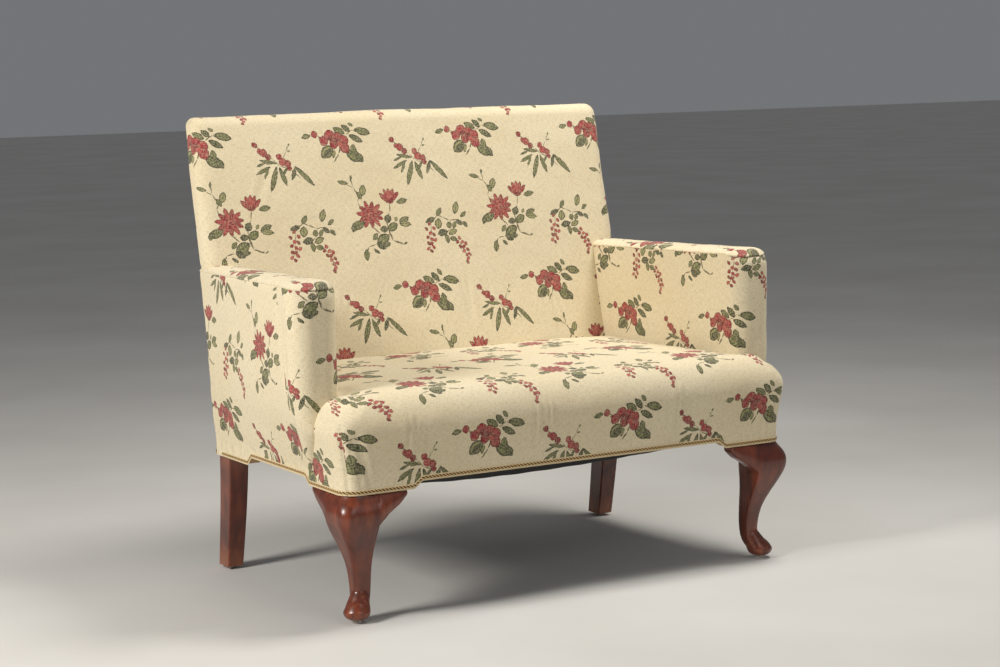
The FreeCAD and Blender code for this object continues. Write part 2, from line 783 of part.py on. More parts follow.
both_sides("leg_front", cut_all(front_leg(), dowel_holes))
both_sides("leg_rear", cut_all(rear_post(post_top), dowel_holes))
knee_face_x = -foot_x + knee_inner
knee_face_y = foot_y + knee_inner
both_sides(
    "knee_bracket_front",
    knee_bracket(lambda s, d, z: V(knee_face_x + s, front_y + d, z), front_bracket_reach),
)
both_sides(
    "knee_bracket_side",
    knee_bracket(
        lambda s, d, z: V(-side_x(knee_face_y + s) + d, knee_face_y + s, z), side_bracket_reach
    ),
)
glides = []
for sign in (-1, 1):
    for x, y in ((foot_x + toe, foot_y - toe), (rear_foot_x, front_y + rear_foot_depth)):
        glide = rod(V(sign * x, y, 0), V(0, 0, 1), glide_height, glide_radius)
        glides.append(glide.makeFillet(1.5, [edge for edge in glide.Edges if edge.BoundBox.ZMax < 0.1]))
save("foot_glides", compound(glides))

# Seat frame.

rail_low = cloth_low - rear_drop
front_rail = box(-rail_end_x, rail_end_x, rail_y, front_inner_y, rail_low, rail_top)
front_rail = cut_all(front_rail, below_rail[:1] + dowel_holes + screw_holes)
save("rail_front", front_rail)
rear_rail = box(-post_inner_x, post_inner_x, rear_rail_y, frame_rear_y, rail_low, rail_top)
rear_rail = cut_all(rear_rail, below_rail[1:2] + dowel_holes + screw_holes)
save("rail_rear", rear_rail)
side_rail = prism_z(
    [
        (side_inner_x(front_stile_y), front_stile_y), (side_inner_x(post_front_low), post_front_low),
        (side_inner_x(post_front_low) - rail_thickness, post_front_low),
        (side_inner_x(front_stile_y) - rail_thickness, front_stile_y),
    ],
    rail_low, rail_top,
)
side_rail = cut_all(side_rail, below_rail[2:3] + dowel_holes + screw_holes)
both_sides("rail_side", side_rail)
save("seat_brace", box(-15.0, 15.0, front_inner_y, rear_rail_y, rail_bottom + 2.0, rail_bottom + 42.0))

# Springs, clips and the cloth over them.

clip_front_y = rail_y + 20.0
clip_rear_y = rear_rail_y + 6.0
spring = sinuous_spring(clip_front_y, clip_rear_y)
springs, clips = [], []
for i in range(spring_count):
    x = -spring_spread + i * 2 * spring_spread / (spring_count - 1)
    springs.append(spring.translated(V(x, 0, 0)))
    clips.append(spring_clip(x, clip_front_y, -1))
    clips.append(spring_clip(x, clip_rear_y, 1))
save("seat_springs", compound(springs))
save("spring_clips", compound(clips))
burlap_x = -side_inner_x(rear_y) - 2.0
save("seat_burlap", box(-burlap_x, burlap_x, rail_y + 1, post_front_low - 1, deck, deck + burlap))

# Back frame, webbing and burlap.

save(
    "back_top_rail",
    cut_all(raked_slab(-post_inner_x, post_inner_x, post_top - top_rail_height, post_top), dowel_holes),
)
lower_rail = raked_slab(-post_inner_x, post_inner_x, tack_low, tack_high)
save("back_lower_rail", cut_all(lower_rail, dowel_holes))
stile_half = 20.0
save("back_centre_stile", raked_slab(-stile_half, stile_half, tack_high, post_top - top_rail_height))
web_half = webbing_width / 2
strips_up = [
    front_slab(x - web_half, x + web_half, tack_low + 2, post_top - 4, 0.0, webbing)
    for x in (-360.0, -180.0, 0.0, 180.0, 360.0)
]
strips_across = [
    front_slab(-tack_half + 2, tack_half - 2, z - web_half, z + web_half, webbing, 2 * webbing)
    for z in (600.0, 720.0, 840.0)
]
save("back_webbing", compound(strips_up + strips_across))
save(
    "back_burlap",
    front_slab(-tack_half, tack_half, tack_low, post_top - 2, 2 * webbing, layers),
)

# Back upholstery.

back_outer = back_body(0.0)
back_clear = back_body(-gap)
back_inner = back_body(cloth)
back_lining = back_body(cloth + gap)
arm_rail_low = arm_height - arm_top_pad - arm_board
arm_rail_space = arm_body(arm_inner_pad, arm_outer_pad, arm_front_pad, 0.0, arm_height - arm_top_pad)
arm_rail_space = arm_rail_space.cut(box(-far, 0, front_y, behind, cloth_low - 1, arm_rail_low - gap))
pad_spaces = [
    front_slab(-half, half, low, high, -far, thickness)
    for half, thickness in ((post_outer_x + gap, gap), (tack_half + gap, layers))
    for low, high in ((pad_bottom - 5, bend_height), (bend_height, post_top + gap))
]
arm_rail_spaces = [arm_rail_space, mirrored(arm_rail_space)]
save("back_pad", cut_all(back_lining, pad_spaces + arm_rail_spaces))
rear_space = rear_layer(2 * cloth, back_round_over, panel_half + gap, panel_top + gap)
save("inside_back_cover", cut_all(back_outer.cut(back_inner), [rear_space] + arm_rail_spaces))
save("outside_back_cover", rear_layer(cloth, 0.0, panel_half, panel_top).cut(below_cloth[1]))

# Arms.

arm_clear = arm_body(-gap, -gap, -gap, 0.0, arm_height)
arm_shell = arm_body(0.0, 0.0, 0.0, 0.0).cut(arm_body(cloth, cloth, cloth, cloth))
inner_region = prism_z(
    [
        (-side_x(front_y) + rail_cover - gap, front_y), (0, front_y), (0, rear_y - cloth),
        (-side_x(rear_y) + rail_cover - gap, rear_y - cloth),
    ],
    rail_low, pad_bottom,
)
under_left = below_cloth[2]
both_sides("arm_cover", cut_all(arm_shell, [inner_region, rear_space, back_clear, under_left]))
both_sides("arm_top_strip", arm_cap(0.0).cut(arm_cap(cloth)).cut(back_clear))
lining = cloth + gap
arm_stuffing = arm_body(lining, lining, lining, lining, capped=True)
arm_core = arm_body(arm_inner_pad, arm_outer_pad, arm_front_pad, 0.0, arm_height - arm_top_pad)
below_pad = box(-far, 0, front_y, behind, rail_low, pad_bottom)
both_sides("arm_pad", cut_all(arm_stuffing, [arm_core, below_pad, back_clear]))

arm_fit = gap + burlap + gap
arm_frame = arm_body(
    arm_inner_pad + arm_fit, arm_outer_pad + gap, arm_front_pad + gap, 0.0,
    arm_height - arm_top_pad - gap,
)
arm_post_rear = arm_front_y + arm_front_pad + arm_post_depth
post_space = box(-far, 0, front_y, arm_post_rear, rail_top, arm_rail_low)
arm_post = arm_frame.common(post_space)
both_sides("arm_post", arm_post)
post_line = [(post_front_y(z), z) for z in (rail_low, bend_height, back_top)]
rear_limit = prism_x(post_line + [(behind, back_top), (behind, rail_low)], -far, 0)
arm_board_space = box(-far, 0, front_y, behind, arm_rail_low, arm_height)
both_sides("arm_rail", arm_frame.common(arm_board_space).cut(rear_limit))
tack_depth = 22.0
arm_tack_height = 30.0
past = -50.0    # an inset that takes a side well outside the arm
hollow = arm_body(arm_inner_pad + arm_fit + tack_depth, past, past, past, arm_height - past)
tack_space = box(-far, 0, arm_post_rear, behind, tack_low, tack_low + arm_tack_height)
both_sides("arm_tack_rail", arm_frame.common(tack_space).cut(hollow).cut(rear_limit).cut(back_clear))
burlap_front = arm_body(arm_inner_pad + gap, arm_outer_pad, arm_front_pad, 0.0, arm_rail_low - 1)
burlap_rear = arm_body(arm_inner_pad + gap + burlap, past, past, past, arm_height)
burlap_space = box(-far, 0, arm_front_y + 60, behind, pad_bottom, arm_rail_low - 2)
both_sides(
    "arm_burlap", burlap_front.cut(burlap_rear).common(burlap_space).cut(rear_limit).cut(back_clear)
)

# Seat upholstery.

arm_clears = [arm_clear, mirrored(arm_clear)]
seat_stuffing = cut_all(seat_body(lining), arm_clears + [back_clear])
ear_heights = (rail_low, cloth_straight, arm_sweep_top, back_top)
ear_line = [(arm_front_line(z) + ear_overlap, z) for z in ear_heights]
ear_end = ear_line[0][0]
behind_ears = ear_line + [(behind, back_top), (behind, rail_low)]
beside_arms = [prism_x(behind_ears, -far, -arm_inner_front), prism_x(behind_ears, arm_inner_front, far)]
below_deck = box(-far, far, ahead, behind, rail_low, pad_bottom)
save("seat_pad", cut_all(seat_stuffing, [below_deck] + beside_arms))
edge_region = box(-far, far, ahead, ear_end, cloth_straight, pad_bottom - gap)
plan_front = side_x(front_y) - rail_cover + gap
plan_rear = side_x(rear_y) - rail_cover + gap
plan_y = rail_y - gap
plan_corners = [
    (plan_rear, rear_y), (-plan_rear, rear_y), (-plan_front, plan_y), (plan_front, plan_y),
]
plan_radii = [1.0, 1.0, corner_radius_inside + gap, corner_radius_inside + gap]
frame_plan = Part.Face(rounded_wire(plan_corners, plan_radii, level(rail_low)))
frame_plan = frame_plan.extrude(V(0, 0, pad_bottom - rail_low))
save("seat_edge_pad", cut_all(seat_stuffing.common(edge_region), [frame_plan] + beside_arms))
seat_shell = cut_all(seat_body(0.0).cut(seat_body(cloth)), arm_clears + [back_clear] + beside_arms)
behind_front = box(-far, far, ear_end, behind, rail_low, pad_bottom)
save("seat_cover", cut_all(seat_shell, [behind_front, below_cloth[0], below_cloth[2], below_cloth[3]]))

# Braid along the lower edge, and the cambric below the frame.

braid_in = Part.Face(base_outline(gap)).extrude(V(0, 0, 60))
braid_out = Part.Face(base_outline(gap + braid_thickness)).extrude(V(0, 0, 60))
ring = braid_out.cut(braid_in)
ring.translate(V(0, 0, -rear_drop - 10))
band = under_edge(braid_height)
front_zone = box(-far, far, ahead, rail_y + rail_thickness, 0, back_top)
rear_zone = box(-far, far, rear_y - 4, behind, 0, back_top)
save("braid_front", ring.common(band[0]).cut(below_cloth[0]))
save("braid_rear", ring.common(band[1]).common(rear_zone).cut(below_cloth[1]))
side_ring = ring.cut(front_zone).cut(rear_zone)
both_sides("braid_side", side_ring.common(band[2]).cut(below_cloth[2]))
save("dust_cover", dust_sheet())
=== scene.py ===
import math

import bmesh
import bpy
import numpy as np
from mathutils import Matrix, Vector


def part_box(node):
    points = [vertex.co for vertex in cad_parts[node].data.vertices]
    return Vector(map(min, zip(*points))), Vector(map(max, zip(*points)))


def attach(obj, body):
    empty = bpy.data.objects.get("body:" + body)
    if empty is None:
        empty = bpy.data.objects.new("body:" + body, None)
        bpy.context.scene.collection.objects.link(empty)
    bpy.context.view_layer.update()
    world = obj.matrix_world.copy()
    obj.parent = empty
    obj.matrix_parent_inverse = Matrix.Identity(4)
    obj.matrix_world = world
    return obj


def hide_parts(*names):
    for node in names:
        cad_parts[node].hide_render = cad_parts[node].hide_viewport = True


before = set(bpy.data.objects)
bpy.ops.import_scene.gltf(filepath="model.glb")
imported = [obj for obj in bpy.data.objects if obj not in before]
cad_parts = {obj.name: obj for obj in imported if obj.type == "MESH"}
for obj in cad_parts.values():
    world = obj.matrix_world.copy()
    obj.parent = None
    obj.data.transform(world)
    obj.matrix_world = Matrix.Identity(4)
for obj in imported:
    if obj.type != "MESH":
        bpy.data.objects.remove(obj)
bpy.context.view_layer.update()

# The sofa stands on a plain pale floor under soft lamps, seen from its left front through a
# long lens, from a little above the arms. Sizes in this file are millimetres unless a name
# says metres, and MM turns them into the scene's metres.
MM = 0.001
stage = bpy.context.scene


def feed(tree, socket, value):
    """Gives a socket a plain value or another node's output."""
    if isinstance(value, bpy.types.NodeSocket):
        tree.links.new(value, socket)
    else:
        socket.default_value = value


def add_node(tree, kind, sockets=None, out=0, **settings):
    """The output of a new shader node with these settings and sockets."""
    made = tree.nodes.new("ShaderNode" + kind)
    for name, value in settings.items():
        setattr(made, name, value)
    for name, value in (sockets or {}).items():
        feed(tree, made.inputs[name], value)
    return made.outputs[out]


def dye(red, green, blue):
    """Linear colour from the 0 to 255 values that a colour card gives."""
    linear = []
    for value in (red, green, blue):
        share = value / 255
        linear.append(share / 12.92 if share <= 0.04045 else ((share + 0.055) / 1.055) ** 2.4)
    return (*linear, 1.0)


def grade(tree, share, *stops):
    """A colour that runs through the stops, each a place from 0 to 1 and a dye."""
    ramp = tree.nodes.new("ShaderNodeValToRGB")
    tree.links.new(share, ramp.inputs["Fac"])
    marks = ramp.color_ramp.elements
    for place, *colour in stops[1:-1]:
        marks.new(place)
    for mark, (place, *colour) in zip(marks, stops):
        mark.position = place
        mark.color = dye(*colour)
    return ramp.outputs["Color"]


def new_finish(name):
    """An empty node material, its tree and its surface shader."""
    finish = bpy.data.materials.new(name)
    finish.use_nodes = True
    tree = finish.node_tree
    tree.nodes.clear()
    surface = tree.nodes.new("ShaderNodeBsdfPrincipled")
    end = tree.nodes.new("ShaderNodeOutputMaterial")
    tree.links.new(surface.outputs[0], end.inputs["Surface"])
    return finish, tree, surface


def dress(tree, surface, colour, roughness, height=None, relief=None):
    """Gives a surface its colour and dullness, and a relief by its strength and its metres."""
    tree.links.new(colour, surface.inputs["Base Color"])
    feed(tree, surface.inputs["Roughness"], roughness)
    if height is not None:
        strength, metres = relief
        bump = add_node(tree, "Bump", {"Height": height, "Strength": strength, "Distance": metres})
        tree.links.new(bump, surface.inputs["Normal"])


def clouded_finish(name, noise, stops, roughness, relief=None, stretch=None, metallic=0.0):
    """A finish whose colour, and relief where it has one, follow a noise over the whole piece."""
    finish, tree, surface = new_finish(name)
    place = add_node(tree, "TexCoord", out="Object")
    if stretch:
        place = add_node(tree, "Mapping", {"Vector": place, "Scale": stretch})
    clouds = add_node(tree, "TexNoise", {"Vector": place, **noise})
    dress(tree, surface, grade(tree, clouds, *stops), roughness, clouds if relief else None, relief)
    surface.inputs["Metallic"].default_value = metallic
    return finish


view_turn = math.radians(31.27)
view_down = math.radians(6.85)
view_tilt = math.radians(-1.2)
view_place = Vector((-2622.5, -4391.4, 1125.3)) * MM
ahead = Vector((
    math.sin(view_turn) * math.cos(view_down),
    math.cos(view_turn) * math.cos(view_down),
    -math.sin(view_down),
))
level_right = Vector((math.cos(view_turn), -math.sin(view_turn), 0))
level_up = level_right.cross(ahead)
right = level_right * math.cos(view_tilt) + level_up * math.sin(view_tilt)
up = level_up * math.cos(view_tilt) - level_right * math.sin(view_tilt)
lens = bpy.data.cameras.new("view")
lens.sensor_width = 36
lens.lens = 84.0
camera = bpy.data.objects.new("view", lens)
camera.matrix_world = Matrix.Translation(view_place) @ Matrix((right, up, -ahead)).transposed().to_4x4()
stage.collection.objects.link(camera)
stage.camera = camera

floor_finish = clouded_finish(
    "pale_floor", {"Scale": 1.3, "Detail": 6.0}, [(0.3, 205, 202, 196), (0.7, 216, 214, 209)], 0.75
)
floor_mesh = bpy.data.meshes.new("floor")
floor_metres = 30.0
floor_corners = [(x * floor_metres, y * floor_metres, 0) for x, y in ((-1, -1), (1, -1), (1, 1), (-1, 1))]
floor_mesh.from_pydata(floor_corners, [], [(0, 1, 2, 3)])
floor = bpy.data.objects.new("floor", floor_mesh)
floor_mesh.materials.append(floor_finish)
stage.collection.objects.link(floor)


def hang_lamp(name, place, aim, size, power, colour):
    """A square soft lamp at place, in metres, turned towards aim."""
    lamp = bpy.data.lights.new(name, "AREA")
    lamp.shape = "SQUARE"
    lamp.size = size
    lamp.energy = power
    lamp.color = colour
    holder = bpy.data.objects.new(name, lamp)
    holder.location = place
    holder.rotation_mode = "QUATERNION"
    holder.rotation_quaternion = (Vector(aim) - Vector(place)).to_track_quat("-Z", "Y")
    stage.collection.objects.link(holder)


warm = (1.0, 0.97, 0.93)
hang_lamp("lamp_left", place=(-3.2, -0.5, 2.0), aim=(-0.3, 0.0, 0.5), size=0.8, power=92, colour=warm)
hang_lamp("lamp_front", place=(0.4, -4.2, 2.4), aim=(0.0, 0.0, 0.5), size=2.2, power=22, colour=warm)
hang_lamp(
    "lamp_above", place=(1.0, -0.4, 2.9), aim=(0.1, 0.0, 0.4), size=0.9, power=58, colour=(1.0, 0.97, 0.92)
)
air = bpy.data.worlds.new("air")
air.use_nodes = True
air_light = air.node_tree.nodes["Background"]
air_light.inputs["Color"].default_value = (0.86, 0.88, 0.92, 1)
air_light.inputs["Strength"].default_value = 0.2
stage.world = air
stage.view_settings.view_transform = "Standard"


# Frame: rails, corner blocks, back posts, arm posts and dowels of plain pale hardwood, sawn
# and left bare, glued with dowels and screwed at the corner blocks. The covers hide it.
def paint(finish, *names):
    """Gives CAD nodes this finish in place of their own."""
    for name in names:
        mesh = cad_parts[name].data
        mesh.materials.clear()
        mesh.materials.append(finish)


frame_wood = clouded_finish(
    "sawn_hardwood", {"Scale": 1.6, "Detail": 5.0, "Distortion": 0.6},
    [(0.3, 150, 116, 76), (0.52, 188, 152, 106), (0.72, 206, 174, 128)],
    roughness=0.7, relief=(0.25, 0.0006), stretch=(9.0, 60.0, 60.0),
)
sides = ("left", "right")
paint(
    frame_wood, "rail_front", "rail_rear", "seat_brace", "back_top_rail", "back_lower_rail",
    "back_centre_stile", "frame_dowels",
)
for side in sides:
    paint(
        frame_wood, f"rail_side_{side}", f"corner_block_front_{side}", f"corner_block_rear_{side}",
        f"arm_post_{side}", f"arm_rail_{side}", f"arm_tack_rail_{side}",
    )


# Legs: four turned-out legs of mahogany, the front pair cabriole with a knee bracket glued on
# each side, the rear pair square and raked. They are stained red brown, varnished and rubbed,
# and the varnish is worn to paler wood on the edges and near the floor.
def reckon(tree, operation, *values):
    """One step of arithmetic."""
    return add_node(tree, "Math", dict(enumerate(values)), operation=operation)


def spread(tree, value, start, end, low=0.0, high=1.0):
    """Runs from low to high while value runs from start to end, and stays level beyond them."""
    marks = {"Value": value, "From Min": start, "From Max": end, "To Min": low, "To Max": high}
    return add_node(tree, "MapRange", marks)


def split(tree, vector):
    """The three parts of a vector."""
    parts = tree.nodes.new("ShaderNodeSeparateXYZ")
    tree.links.new(vector, parts.inputs[0])
    return tuple(parts.outputs)


def mix_colour(tree, share, first, second):
    """The first colour where share is 0, the second where it is 1."""
    return add_node(tree, "Mix", {0: share, 6: first, 7: second}, 2, data_type="RGBA")


leg_wood, tree, surface = new_finish("varnished_mahogany")
place = add_node(tree, "TexCoord", out="Object")
along = add_node(tree, "Mapping", {"Vector": place, "Scale": (55.0, 55.0, 7.0)})
grain = add_node(tree, "TexNoise", {"Vector": along, "Scale": 1.0, "Detail": 7.0, "Distortion": 0.9})
stain = grade(tree, grain, (0.25, 74, 28, 14), (0.45, 104, 44, 21), (0.6, 124, 55, 27), (0.8, 146, 70, 36))
patches = add_node(tree, "TexNoise", {"Vector": place, "Scale": 14.0, "Detail": 3.0})
darker = mix_colour(tree, spread(tree, patches, 0.35, 0.7), stain, dye(70, 26, 14))
ridge = spread(tree, add_node(tree, "NewGeometry", out="Pointiness"), 0.53, 0.62)
near_floor = spread(tree, split(tree, place)[2], 0.09, 0.012)
scuffs = add_node(tree, "TexNoise", {"Vector": place, "Scale": 95.0, "Detail": 5.0, "Roughness": 0.7})
foot_wear = reckon(tree, "MULTIPLY", near_floor, spread(tree, scuffs, 0.5, 0.72))
wear = reckon(tree, "MULTIPLY", reckon(tree, "MAXIMUM", foot_wear, ridge), 0.55)
worn = mix_colour(tree, wear, darker, dye(184, 122, 82))
rubbed = spread(tree, scuffs, 0.0, 1.0, 0.24, 0.42)
dress(tree, surface, worn, rubbed, grain, (0.12, 0.0005))
surface.inputs["Coat Weight"].default_value = 0.35
surface.inputs["Coat Roughness"].default_value = 0.22
for side in sides:
    paint(
        leg_wood, f"leg_front_{side}", f"leg_rear_{side}",
        f"knee_bracket_front_{side}", f"knee_bracket_side_{side}",
    )

# Front legs as carved: the knee brackets are glued on first and then carved together with the
# leg, so that knee and brackets run into each other, and the ankle swells into the pad foot.
foot_swell = ((16.0, 26.5), (29.0, 26.0), (42.0, 22.0), (54.0, 18.0), (66.0, 13.0))
swell_sides = 32
foot_height = 30.0
ankle_low, ankle_high = 70.0, 95.0
chip = 2.4


def carve_front_leg(side):
    """One smooth form over the front leg and its two brackets."""
    block = bmesh.new()
    for node in (f"leg_front_{side}", f"knee_bracket_front_{side}", f"knee_bracket_side_{side}"):
        block.from_mesh(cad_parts[node].data)
    foot = [v.co.copy() for v in block.verts if v.co.z < foot_height * MM]
    ankle = [v.co.copy() for v in block.verts if ankle_low * MM < v.co.z < ankle_high * MM]
    foot_middle = sum(foot, Vector()) / len(foot)
    ankle_middle = sum(ankle, Vector()) / len(ankle)
    turns = [2 * math.pi * k / swell_sides for k in range(swell_sides)]
    rings = []
    for height, wide in foot_swell:
        share = (height * MM - foot_middle.z) / (ankle_middle.z - foot_middle.z)
        middle = foot_middle.lerp(ankle_middle, max(share, 0.0))
        rings.append([
            block.verts.new((
                middle.x + wide * MM * math.cos(turn), middle.y + wide * MM * math.sin(turn), height * MM
            ))
            for turn in turns
        ])
    for lower, upper in zip(rings, rings[1:]):
        for k in range(swell_sides):
            after = (k + 1) % swell_sides
            block.faces.new((lower[k], lower[after], upper[after], upper[k]))
    block.faces.new(rings[0][::-1])
    block.faces.new(rings[-1])
    mesh = bpy.data.meshes.new("leg_block")
    block.to_mesh(mesh)
    block.free()
    leg = bpy.data.objects.new("leg_block", mesh)
    stage.collection.objects.link(leg)
    shave = leg.modifiers.new("shave", "REMESH")
    shave.mode = "VOXEL"
    shave.voxel_size = chip * MM
    rub = leg.modifiers.new("rub", "SMOOTH")
    rub.factor = 0.6
    rub.iterations = 7
    worked = leg.evaluated_get(bpy.context.evaluated_depsgraph_get())
    carved = bpy.data.meshes.new_from_object(worked)
    bpy.data.objects.remove(leg)
    carved.name = f"front_leg_carved_{side}"
    carved.polygons.foreach_set("use_smooth", np.ones(len(carved.polygons), bool))
    carved.materials.clear()
    carved.materials.append(leg_wood)
    piece = bpy.data.objects.new(f"front_leg_carved_{side}", carved)
    stage.collection.objects.link(piece)
    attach(piece, "root")
    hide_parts(f"leg_front_{side}", f"knee_bracket_front_{side}", f"knee_bracket_side_{side}")


for side in sides:
    carve_front_leg(side)

# Glides: a pale moulded plastic disc under each foot, held by a nail through its middle. The
# floor has made them dull and scratched.
glide_finish = clouded_finish(
    "moulded_glide", {"Scale": 220.0, "Detail": 4.0}, [(0.35, 128, 120, 110), (0.6, 196, 190, 180)],
    roughness=0.5, relief=(0.2, 0.0003),
)
paint(glide_finish, "foot_glides")

# Springs: eight zigzag springs of blued steel wire run from the front rail to the rear rail,
# each held by a curled clip at both ends. The screws of the corner blocks are steel too.
steel = clouded_finish(
    "blued_steel", {"Scale": 160.0, "Detail": 4.0}, [(0.4, 88, 86, 84), (0.7, 132, 128, 122)],
    roughness=0.38, relief=(0.15, 0.0002), metallic=1.0,
)
paint(steel, "seat_springs", "spring_clips", "corner_screws")

# Burlap and webbing: coarse jute tacked over the springs, the back frame and inside the arms,
# with woven jute straps behind it on the back. They lie a little slack between their tacks.
jute, tree, surface = new_finish("jute")
place = add_node(tree, "TexCoord", out="Object")
threads = []
for direction in ("X", "Y", "Z"):
    threads.append(add_node(
        tree, "TexWave", {"Vector": place, "Scale": 160.0, "Distortion": 1.5, "Detail": 1.0}, "Fac",
        wave_type="BANDS", bands_direction=direction,
    ))
crossed = reckon(tree, "MAXIMUM", reckon(tree, "MAXIMUM", threads[0], threads[1]), threads[2])
jute_colour = grade(tree, crossed, (0.5, 98, 74, 44), (1.0, 170, 138, 92))
dress(tree, surface, jute_colour, 0.95, crossed, (0.5, 0.0008))


def slack_copy(node, name, finish, cuts, slack):
    """A cloth piece made from a flat CAD layer, cut finer and moved gently out of true."""
    piece = bpy.data.objects.new(name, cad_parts[node].data.copy())
    stage.collection.objects.link(piece)
    mesh = piece.data
    fine = bmesh.new()
    fine.from_mesh(mesh)
    bmesh.ops.remove_doubles(fine, verts=fine.verts, dist=0.00001)
    bmesh.ops.subdivide_edges(fine, edges=fine.edges, cuts=cuts, use_grid_fill=True)
    for point in fine.verts:
        x, y, z = point.co
        wave = math.sin(31 * x + 17 * z + 9 * y) + math.sin(23 * z - 27 * y - 12 * x)
        point.co += Vector((0.3, 0.5, 0.5)) * (slack * MM * wave / 2)
    fine.to_mesh(mesh)
    fine.free()
    mesh.materials.clear()
    mesh.materials.append(finish)
    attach(piece, "root")
    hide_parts(node)
    return piece


seat_burlap = slack_copy("seat_burlap", "seat_burlap_cloth", jute, cuts=5, slack=0.25)
back_burlap = slack_copy("back_burlap", "back_burlap_cloth", jute, cuts=5, slack=0.25)
for side in sides:
    arm_burlap = slack_copy(f"arm_burlap_{side}", f"arm_burlap_cloth_{side}", jute, cuts=1, slack=0.2)
slack_copy("back_webbing", "back_webbing_straps", jute, cuts=2, slack=0.15)

# Printed cloth: a cream cotton union with a slubby weave, printed with sprigs of roses, berries,
# chrysanthemums and wisteria in coral red and grey green. Every panel is cut from it, and the map
# named Cloth says where on the cloth each point lies, in mm.
repeat_across = 343.0
repeat_down = 352.2
half_drop = 175.6
hand_shake = 4.2
printed_cloth, tree, surface = new_finish("printed_union")


def vector_step(operation, *values, out=0):
    """One step of arithmetic on vectors."""
    return add_node(tree, "VectorMath", dict(enumerate(values)), out, operation=operation)


cut = add_node(tree, "UVMap", uv_map="Cloth")
wobble = add_node(tree, "TexNoise", {"Vector": cut, "Scale": 0.16, "Detail": 2.0}, "Color")
centred = vector_step("SUBTRACT", wobble, (0.5, 0.5, 0.5))
shaky = add_node(tree, "VectorMath", {0: centred, "Scale": hand_shake}, operation="SCALE")
cloth_across, cloth_down = split(tree, vector_step("ADD", cut, shaky))[:2]


def sprig_place(u_middle, v_middle):
    """Brings every repeat of a sprig to the one place where it is drawn: across, down and 1."""
    down = reckon(tree, "WRAP", cloth_down, v_middle + repeat_down / 2, v_middle - repeat_down / 2)
    moved = reckon(tree, "SUBTRACT", cloth_down, down)
    shifted = reckon(tree, "MULTIPLY_ADD", moved, half_drop / repeat_down, cloth_across)
    across = reckon(tree, "WRAP", shifted, u_middle + repeat_across / 2, u_middle - repeat_across / 2)
    return add_node(tree, "CombineXYZ", {0: across, 1: down, 2: 1.0})


leaf_belly = 0.75
petal_belly = 0.25


def lay_shape(place, heap, start, end, width, tone, belly):
    """Prints one pointed shape, from start to end, over the heap of shapes laid before it. The
    heap keeps how far along and across the uppermost shape a point lies, and the shape's tone."""
    middle = (Vector(start) + Vector(end)) / 2
    long_way = (Vector(end) - Vector(start)) / 2
    half_long = long_way.length
    round_radius = math.hypot(1, belly)
    half_wide = width / 2 / (round_radius - belly)
    along_way = long_way / half_long ** 2
    cross_way = Vector((-long_way.y, long_way.x)) / (half_long * half_wide)
    along = vector_step("DOT_PRODUCT", place, (*along_way, -along_way.dot(middle)), out="Value")
    across = vector_step("DOT_PRODUCT", place, (*cross_way, -cross_way.dot(middle)), out="Value")
    inside = add_node(tree, "CombineXYZ", {0: along, 1: across, 2: tone})
    off = vector_step("DISTANCE", vector_step("ABSOLUTE", inside), (0, -belly, tone), out="Value")
    within = reckon(tree, "LESS_THAN", off, round_radius)
    return add_node(tree, "Mix", {0: within, 4: heap, 5: inside}, 1, data_type="VECTOR")


def lay_shapes(place, heap, belly, shapes):
    """Leaves, petals or berries by middle, length, width, direction in degrees and tone."""
    for u, v, length, width, turn, tone in shapes:
        du = math.cos(math.radians(turn)) * length / 2
        dv = math.sin(math.radians(turn)) * length / 2
        heap = lay_shape(place, heap, (u - du, v - dv), (u + du, v + dv), width, tone, belly)
    return heap


def lay_stems(place, heap, stems):
    """Stems by how thick they are drawn and their points in order."""
    for thickness, *points in stems:
        for start, end in zip(points, points[1:]):
            heap = lay_shape(place, heap, start, end, thickness, stem_tone, leaf_belly)
    return heap


stem_tone = 0.97
dark, deep, mid, light = 0.12, 0.3, 0.5, 0.78
greens = reds = add_node(tree, "CombineXYZ")

# The rose sprig: a full rose with its bud, a spray above and a lobed leaf below.
at = sprig_place(-190, 940)
greens = lay_stems(at, greens, [
    (2.4, (-238, 959), (-222, 950), (-205, 946)),
    (2.2, (-180, 948), (-166, 957), (-147, 968), (-135, 962)),
    (3.4, (-182, 930), (-188, 915), (-203, 896)),
])
greens = lay_shapes(at, greens, leaf_belly, [
    (-264, 957, 24, 12, 12, mid), (-181, 968, 33, 16, 152, mid), (-163, 974, 28, 15, 132, deep),
    (-150, 984, 18, 10, 128, mid), (-122, 964, 42, 19, 165, mid), (-141, 948, 38, 15, 152, deep),
    (-217, 920, 40, 27, 40, light), (-216, 918, 26, 14, 40, dark), (-201, 915, 20, 9, 70, light),
    (-151, 909, 44, 27, 150, mid), (-150, 924, 24, 15, 100, mid), (-137, 904, 26, 17, 125, deep),
])
reds = lay_shapes(at, reds, petal_belly, [
    (-243, 961, 17, 17, 20, 0.55), (-228, 951, 12, 9, -30, 0.3),
    (-221, 946, 26, 22, 60, 0.56), (-206, 958, 28, 24, 20, 0.62), (-187, 951, 32, 28, -10, 0.55),
    (-172, 945, 27, 25, -50, 0.6), (-172, 929, 30, 25, -60, 0.52), (-197, 939, 28, 22, 80, 0.46),
    (-189, 944, 18, 14, 10, 0.3), (-181, 936, 20, 13, -40, 0.7), (-205, 950, 13, 9, 30, 0.26),
])

